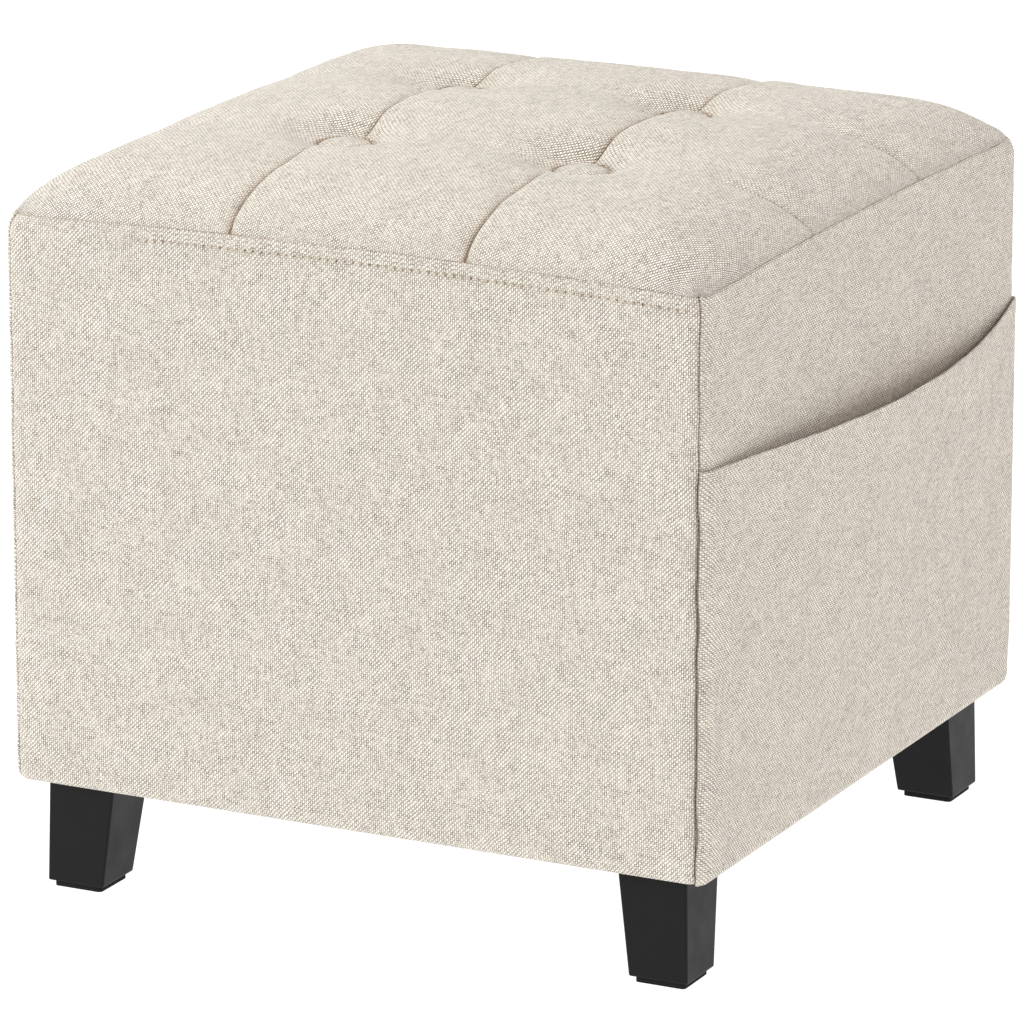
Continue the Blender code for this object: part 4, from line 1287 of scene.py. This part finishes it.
# %% Side pocket: the whole sheet
WRAP_UNDER = math.radians(55.0)
WRAP_STEPS = 6
RIM_ROLL_STEPS = 6
SEWN_GROOVE = 0.5 * MM      # where the pocket goes into the upright seams
SEWN_GROOVE_REACH = 0.8 * MM
SEWN_LIP = 0.25 * MM
SEWN_LIP_AT = 1.6 * MM
SEWN_LIP_REACH = 1.0 * MM


def make_pocket():
    """The pocket sheet, from under the bottom edge, up its face, over its rim and down inside."""
    stations = face_stations(SIDE_WRAP, False)[:, None]
    edge = to_upright_seam(stations, SIDE_WRAP)
    sewn = SEWN_LIP * bump(edge - SEWN_LIP_AT, SEWN_LIP_REACH) - SEWN_GROOVE * bump(edge, SEWN_GROOVE_REACH)
    out_face, face_z = pocket_face(stations, sewn)
    under = np.linspace(WRAP_UNDER, 0.0, WRAP_STEPS)[None, :]
    under_radius = BOTTOM_ROUND + POCKET_LOW_OFFSET
    out_under = CORNER_RADIUS - BOTTOM_ROUND + under_radius * np.cos(under) + sewn
    z_under = np.broadcast_to(BODY_BOTTOM + BOTTOM_ROUND - under_radius * np.sin(under), out_under.shape)
    outer_out = np.concatenate((out_under, out_face), axis=1)
    outer_z = np.concatenate((z_under, face_z), axis=1)
    inner_out = outer_out - POCKET_CLOTH
    inner_out[:, :WRAP_STEPS] = out_under - POCKET_CLOTH * np.cos(under)
    inner_z = outer_z.copy()
    inner_z[:, :WRAP_STEPS] += POCKET_CLOTH * np.sin(under)
    roll = np.linspace(0.0, math.pi, RIM_ROLL_STEPS + 1)[None, 1:-1]
    half_cloth = POCKET_CLOTH / 2.0
    roll_out = outer_out[:, -1:] - half_cloth + half_cloth * np.cos(roll)
    roll_z = outer_z[:, -1:] + half_cloth * np.sin(roll)
    out = np.concatenate((outer_out, roll_out, inner_out[:, ::-1]), axis=1)
    z = np.concatenate((outer_z, roll_z, inner_z[:, ::-1]), axis=1)
    s, t = stand(np.broadcast_to(stations, out.shape), SIDE_WRAP, z, out)
    points = np.stack((*to_body(s, t, 0.0), z), -1)
    flat_v = run_lengths(points, 1, 0)
    flat_u = np.broadcast_to(stations, flat_v.shape)
    cloth_width = 2.0 * (RUN + CORNER_RADIUS * SIDE_WRAP)
    cloth_length = float(flat_v[:, outer_out.shape[1] - 1].mean())
    # Painted shade along the pocket's sewn edges.
    painted_shade = np.broadcast_to(SEAM_PAINTED_SHADE * bump(edge, SEAM_PAINTED_SHADE_REACH), flat_v.shape)
    piece = make_piece("pocket_cloth", points, closed_tube(*points.shape[:2]),
                       turned_cloth(flat_u, flat_v, True), LINEN, painted_shade)
    return piece, cloth_width, cloth_length


pocket, pocket_width, pocket_length = make_pocket()
hand_over(pocket, "side_pocket", slot="linen_cloth")
print(f"pocket cloth {1000 * pocket_width:.0f} x {1000 * pocket_length:.0f} mm")

# %% [markdown]
# ## Topstitching
# A row of stitches runs along the front, a finger's width below the seam. It repeats along a
# path, so Geometry Nodes make it: the path is cut at the stitch pitch, a short arched thread is
# put on each cut, and the result is made real. The path follows the trough in the panel.

# %% Sizes of the topstitches, and their thread
THREAD_RADIUS = 0.23 * MM
STITCH_LENGTH = 3.3 * MM
STITCH_ARCH = 0.25 * MM
STITCH_SINK = 0.28 * MM     # how deep the row's path lies in the cloth
STITCH_SIZES = {"Pitch": STITCH_PITCH, "Length": STITCH_LENGTH, "Arch": STITCH_ARCH,
                "Thread radius": THREAD_RADIUS}
STITCH_THREAD = linear("E4DBCA")
THREAD_TWIST = 0.6 / MM     # scale of the twist's bands: about one in a millimetre of thread


def stitch_thread():
    """Spun polyester sewing thread: cream, matte, and a little smoother than the cloth."""
    material, tree, shader = new_material("spun_polyester_thread")
    place = add_node(tree, "ShaderNodeTexCoord").outputs["Object"]
    twist = add_node(tree, "ShaderNodeTexWave", {"Vector": place, "Scale": THREAD_TWIST, "Distortion": 0.4},
                     bands_direction="DIAGONAL")
    shade = add_node(tree, "ShaderNodeMapRange", {0: twist.outputs["Fac"], 3: 0.86, 4: 1.0})
    colour = add_node(tree, "ShaderNodeVectorMath", {0: STITCH_THREAD[:3], "Scale": shade},
                      operation="SCALE")
    feed(tree, shader, {"Base Color": colour, "Roughness": 0.75, "Specular IOR Level": 0.3})
    return material


print(f"stitches {1000 * STITCH_LENGTH:.1f} mm long, {1000 * (STITCH_PITCH - STITCH_LENGTH):.2f} mm apart")

# %% Topstitches with Geometry Nodes


def stitch_tree(material):
    """Cut a curve at a pitch and lay one arched thread on each cut."""
    tree = bpy.data.node_groups.new("stitches_on_a_path", "GeometryNodeTree")
    tree.interface.new_socket("Geometry", in_out="INPUT", socket_type="NodeSocketGeometry")
    for name, value in STITCH_SIZES.items():
        socket = tree.interface.new_socket(name, in_out="INPUT", socket_type="NodeSocketFloat")
        socket.default_value = value
    tree.interface.new_socket("Geometry", in_out="OUTPUT", socket_type="NodeSocketGeometry")
    given = add_node(tree, "NodeGroupInput").outputs
    path = add_node(tree, "GeometryNodeMeshToCurve", {"Mesh": given["Geometry"]})
    cuts = add_node(tree, "GeometryNodeCurveToPoints", {"Curve": path, "Length": given["Pitch"]},
                    mode="LENGTH")
    half = add_node(tree, "ShaderNodeMath", {0: given["Length"], 1: 0.5}, operation="MULTIPLY")
    back = add_node(tree, "ShaderNodeMath", {0: given["Length"], 1: -0.5}, operation="MULTIPLY")
    start = add_node(tree, "ShaderNodeCombineXYZ", {0: back})
    middle = add_node(tree, "ShaderNodeCombineXYZ", {2: given["Arch"]})
    end = add_node(tree, "ShaderNodeCombineXYZ", {0: half})
    arch = add_node(tree, "GeometryNodeCurveQuadraticBezier", {"Resolution": 6, "Start": start,
                                                               "Middle": middle, "End": end})
    ring = add_node(tree, "GeometryNodeCurvePrimitiveCircle", {"Resolution": 8,
                                                               "Radius": given["Thread radius"]})
    thread = add_node(tree, "GeometryNodeCurveToMesh", {"Curve": arch, "Profile Curve": ring,
                                                        "Fill Caps": True})
    aimed = add_node(tree, "FunctionNodeAlignRotationToVector", {"Vector": cuts.outputs["Tangent"]}, axis="X")
    faced = add_node(tree, "FunctionNodeAlignRotationToVector",
                     {"Rotation": aimed, "Vector": cuts.outputs["Normal"]}, axis="Z", pivot_axis="X")
    placed = add_node(tree, "GeometryNodeInstanceOnPoints", {"Points": cuts, "Instance": thread,
                                                             "Rotation": faced})
    real = add_node(tree, "GeometryNodeRealizeInstances", {"Geometry": placed})
    smooth = add_node(tree, "GeometryNodeSetShadeSmooth", {0: real})
    done = add_node(tree, "GeometryNodeSetMaterial", {"Geometry": smooth, "Material": material})
    add_node(tree, "NodeGroupOutput", {0: done})
    return tree


def front_stitch_path():
    """Points of the stitched row, from half a pitch past its first needle hole to its last."""
    stations = np.arange(STITCH_FIRST + 0.5, STITCH_LAST, 0.5) * STITCH_PITCH
    z = seam_height(stations, np.full_like(stations, -HALF)) - STITCH_DROP
    below = np.full_like(stations, STITCH_DROP)
    relief = panel_relief(stations, below, z, FRONT_WRAP, PANELS["front"][3])
    s, t = stand(stations, FRONT_WRAP, z, CORNER_RADIUS + relief - STITCH_SINK)
    x, y = to_body(s, t, PANELS["front"][1])
    return np.stack((x + CENTRE_X, y, z), -1)


def stitches_on(name, path, material):
    """Run the stitch tree on a path and return the stitches as one plain mesh."""
    line = bpy.data.meshes.new(f"{name}_path")
    line.from_pydata(path.tolist(), [(i, i + 1) for i in range(len(path) - 1)], [])
    guide = add_object(f"{name}_path", line)
    nodes = guide.modifiers.new("stitches", "NODES")
    nodes.node_group = stitch_tree(material)
    sockets = {item.name: item.identifier for item in nodes.node_group.interface.items_tree
               if item.in_out == "INPUT" and item.socket_type == "NodeSocketFloat"}
    for size, value in STITCH_SIZES.items():
        nodes[sockets[size]] = value
    ready = guide.evaluated_get(bpy.context.evaluated_depsgraph_get())
    mesh = bpy.data.meshes.new_from_object(ready)
    mesh.materials.clear()
    mesh.materials.append(material)
    mesh.polygons.foreach_set("material_index", [0] * len(mesh.polygons))
    bpy.data.objects.remove(guide, do_unlink=True)
    return add_object(name, mesh)


topstitch = stitches_on("front_topstitch", front_stitch_path(), stitch_thread())
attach(topstitch, "root")
print("topstitch:", len(topstitch.data.vertices), "vertices, made of", topstitch.data.materials[0].name)

# %% [markdown]
# ## Legs, glides and underside
# The legs are moulded polypropylene in satin black, with the faint orange-peel that a mould
# leaves. Their solids already have the right shape, so they keep it and only get their finish.
# Under each is a small rubber glide. The underside is closed by a black non-woven cover cloth.

# %% Finishes of the carried-over solids
MOULD_GRAIN = 0.9 * MM
WEAR_SIZE = 18.0 * MM       # patches where the plastic is a little more or less glossy
DUST_SIZE = 4.0 * MM
FIBRE_SIZE = 1.5 * MM
DOT_PITCH = 1.6 * MM        # of the pressed dots in the cover cloth


def satin_black_plastic():
    """Moulded polypropylene: nearly black, satin, with a fine moulded texture."""
    material, tree, shader = new_material("moulded_black_polypropylene")
    place = add_node(tree, "ShaderNodeTexCoord").outputs["Object"]
    grain = add_node(tree, "ShaderNodeTexNoise", {"Vector": place, "Scale": 1.0 / MOULD_GRAIN, "Detail": 2.0})
    wear = add_node(tree, "ShaderNodeTexNoise", {"Vector": place, "Scale": 1.0 / WEAR_SIZE, "Detail": 3.0})
    gloss = add_node(tree, "ShaderNodeMapRange", {0: wear, 1: 0.3, 2: 0.7, 3: 0.42, 4: 0.52})
    texture = add_node(tree, "ShaderNodeBump", {"Height": grain, "Strength": 0.5, "Distance": 0.02 * MM})
    feed(tree, shader, {"Base Color": linear("0C0C0C"), "Roughness": gloss, "Normal": texture, "IOR": 1.49,
                        "Specular IOR Level": 0.22})
    return material


def glide_rubber():
    """Black rubber: matte and a little dusty."""
    material, tree, shader = new_material("black_glide_rubber")
    place = add_node(tree, "ShaderNodeTexCoord").outputs["Object"]
    dust = add_node(tree, "ShaderNodeTexNoise", {"Vector": place, "Scale": 1.0 / DUST_SIZE, "Detail": 4.0})
    colour = add_node(tree, "ShaderNodeMix", {"Factor": dust, 6: linear("151515"), 7: linear("222120")},
                      data_type="RGBA")
    feed(tree, shader, {"Base Color": colour.outputs[2], "Roughness": 0.85, "IOR": 1.52,
                        "Specular IOR Level": 0.2})
    return material


def cover_cloth():
    """Black non-woven cover cloth: bonded fibres in a fine pressed dot pattern."""
    material, tree, shader = new_material("black_nonwoven_cover")
    place = add_node(tree, "ShaderNodeTexCoord").outputs["Object"]
    fibres = add_node(tree, "ShaderNodeTexNoise", {"Vector": place, "Scale": 1.0 / FIBRE_SIZE, "Detail": 5.0,
                                                   "Distortion": 1.2})
    dots = add_node(tree, "ShaderNodeTexVoronoi", {"Vector": place, "Scale": 1.0 / DOT_PITCH,
                                                   "Randomness": 0.15})
    height = add_node(tree, "ShaderNodeMath", {0: fibres, 1: dots.outputs["Distance"]}, operation="ADD")
    colour = add_node(tree, "ShaderNodeMix", {"Factor": fibres, 6: linear("141414"), 7: linear("2C2B2A")},
                      data_type="RGBA")
    pressed = add_node(tree, "ShaderNodeBump", {"Height": height, "Strength": 0.6, "Distance": 0.15 * MM})
    feed(tree, shader, {"Base Color": colour.outputs[2], "Normal": pressed, "Roughness": 0.95})
    return material


def finish_node(node, material):
    """Give a CAD node its finish."""
    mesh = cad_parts[node].data
    mesh.materials.clear()
    mesh.materials.append(material)


PLASTIC, RUBBER, COVER = satin_black_plastic(), glide_rubber(), cover_cloth()
for end, side in BUTTON_X:
    finish_node(f"leg_{end}_{side}", PLASTIC)
    finish_node(f"glide_{end}_{side}", RUBBER)
finish_node("base_panel", COVER)
print("finished legs, glides and base with", PLASTIC.name, RUBBER.name, COVER.name)

# %% [markdown]
# ## Stage, light and camera
# The stool stands on a table that glows from below, under a white sky, as small things are lit for
# a catalogue. A key lamp high over the back left shapes the pillows, a low one at the front left
# brightens the front, and a weaker warm one at the right keeps that side a shade darker. The camera
# stands where the photograph's camera stood: its place, direction and lens were worked out from the
# stool's edges.

# %% Floor
FLOOR_SIZE = 16.0
FLOOR_GLOW = 1.10
WHITE = (1.0, 1.0, 1.0)


def make_floor():
    """A wide matte table, lit from below as a product table is, so that shadows nearly vanish."""
    material, tree, shader = new_material("pale_studio_floor")
    place = add_node(tree, "ShaderNodeTexCoord").outputs["Object"]
    soft = add_node(tree, "ShaderNodeTexNoise", {"Vector": place, "Scale": 1.5})
    colour = add_node(tree, "ShaderNodeMix", {"Factor": soft, 6: linear("5E5E5D"), 7: linear("626261")},
                      data_type="RGBA")
    feed(tree, shader, {"Base Color": colour.outputs[2], "Roughness": 0.9, "Specular IOR Level": 0.1,
                        "Emission Color": (*WHITE, 1.0), "Emission Strength": FLOOR_GLOW})
    half = FLOOR_SIZE / 2.0
    mesh = bpy.data.meshes.new("floor")
    mesh.from_pydata([(-half, -half, 0.0), (half, -half, 0.0), (half, half, 0.0), (-half, half, 0.0)], [],
                     [(0, 1, 2, 3)])
    mesh.materials.append(material)
    add_object("studio_floor", mesh)


make_floor()
print(f"floor {FLOOR_SIZE:.0f} m wide")

# %% Sky and lamps
SKY_STRENGTH = 0.52
AIM = Vector((0.0, 0.0, 0.25))
LAMPS = {
    "key_light": {"place": (-0.87, 0.46, 2.98), "size": 0.9, "power": 41.0, "colour": WHITE},
    "front_light": {"place": (-2.70, -2.16, 1.26), "size": 1.3, "power": 60.0, "colour": WHITE},
    "fill_light": {"place": (2.98, -0.88, 1.86), "size": 1.6, "power": 23.0, "colour": (1.0, 0.86, 0.82)},
}


def make_sky():
    """An even studio: it looks white, and gives less light than that to the stool."""
    world = bpy.data.worlds.new("studio_sky")
    world.use_nodes = True
    seen = add_node(world.node_tree, "ShaderNodeLightPath").outputs["Is Camera Ray"]
    strength = add_node(world.node_tree, "ShaderNodeMapRange", {0: seen, 3: SKY_STRENGTH, 4: 1.0})
    feed(world.node_tree, world.node_tree.nodes["Background"], {"Color": (*WHITE, 1.0),
                                                                "Strength": strength})
    bpy.context.scene.world = world


def make_lamp(name, place, size, power, colour):
    """A square soft box, aimed at the stool."""
    lamp = bpy.data.lights.new(name, "AREA")
    lamp.color = colour
    lamp.size = size
    lamp.energy = power
    box = add_object(name, lamp)
    box.location = place
    box.rotation_euler = (AIM - box.location).to_track_quat("-Z", "Y").to_euler()


make_sky()
for name, lamp in LAMPS.items():
    make_lamp(name, **lamp)
print("lamps:", ", ".join(f"{name} {lamp['power']:.0f} W" for name, lamp in LAMPS.items()))

# %% Camera
CAMERA_PLACE = (1683.99 * MM, -3382.33 * MM, 1260.95 * MM)    # from the body's own centre
CAMERA_YAW = math.radians(26.5457)
CAMERA_PITCH = math.radians(15.9425)
CAMERA_LENS = 259.245


def make_camera():
    """The photograph's camera, on a 36 mm square sensor."""
    lens = bpy.data.cameras.new("photo_camera")
    lens.sensor_width = 36.0
    lens.sensor_fit = "HORIZONTAL"
    lens.lens = CAMERA_LENS
    lens.clip_end = 50.0
    camera = add_object("photo_camera", lens)
    x, y, z = CAMERA_PLACE
    camera.location = (x + CENTRE_X, y, z)
    camera.rotation_euler = (math.pi / 2.0 - CAMERA_PITCH, 0.0, CAMERA_YAW)
    bpy.context.scene.camera = camera


make_camera()
bpy.context.scene.view_settings.view_transform = "Standard"
print(f"camera lens {CAMERA_LENS:.0f} mm, {Vector(CAMERA_PLACE).length:.2f} m from the origin")
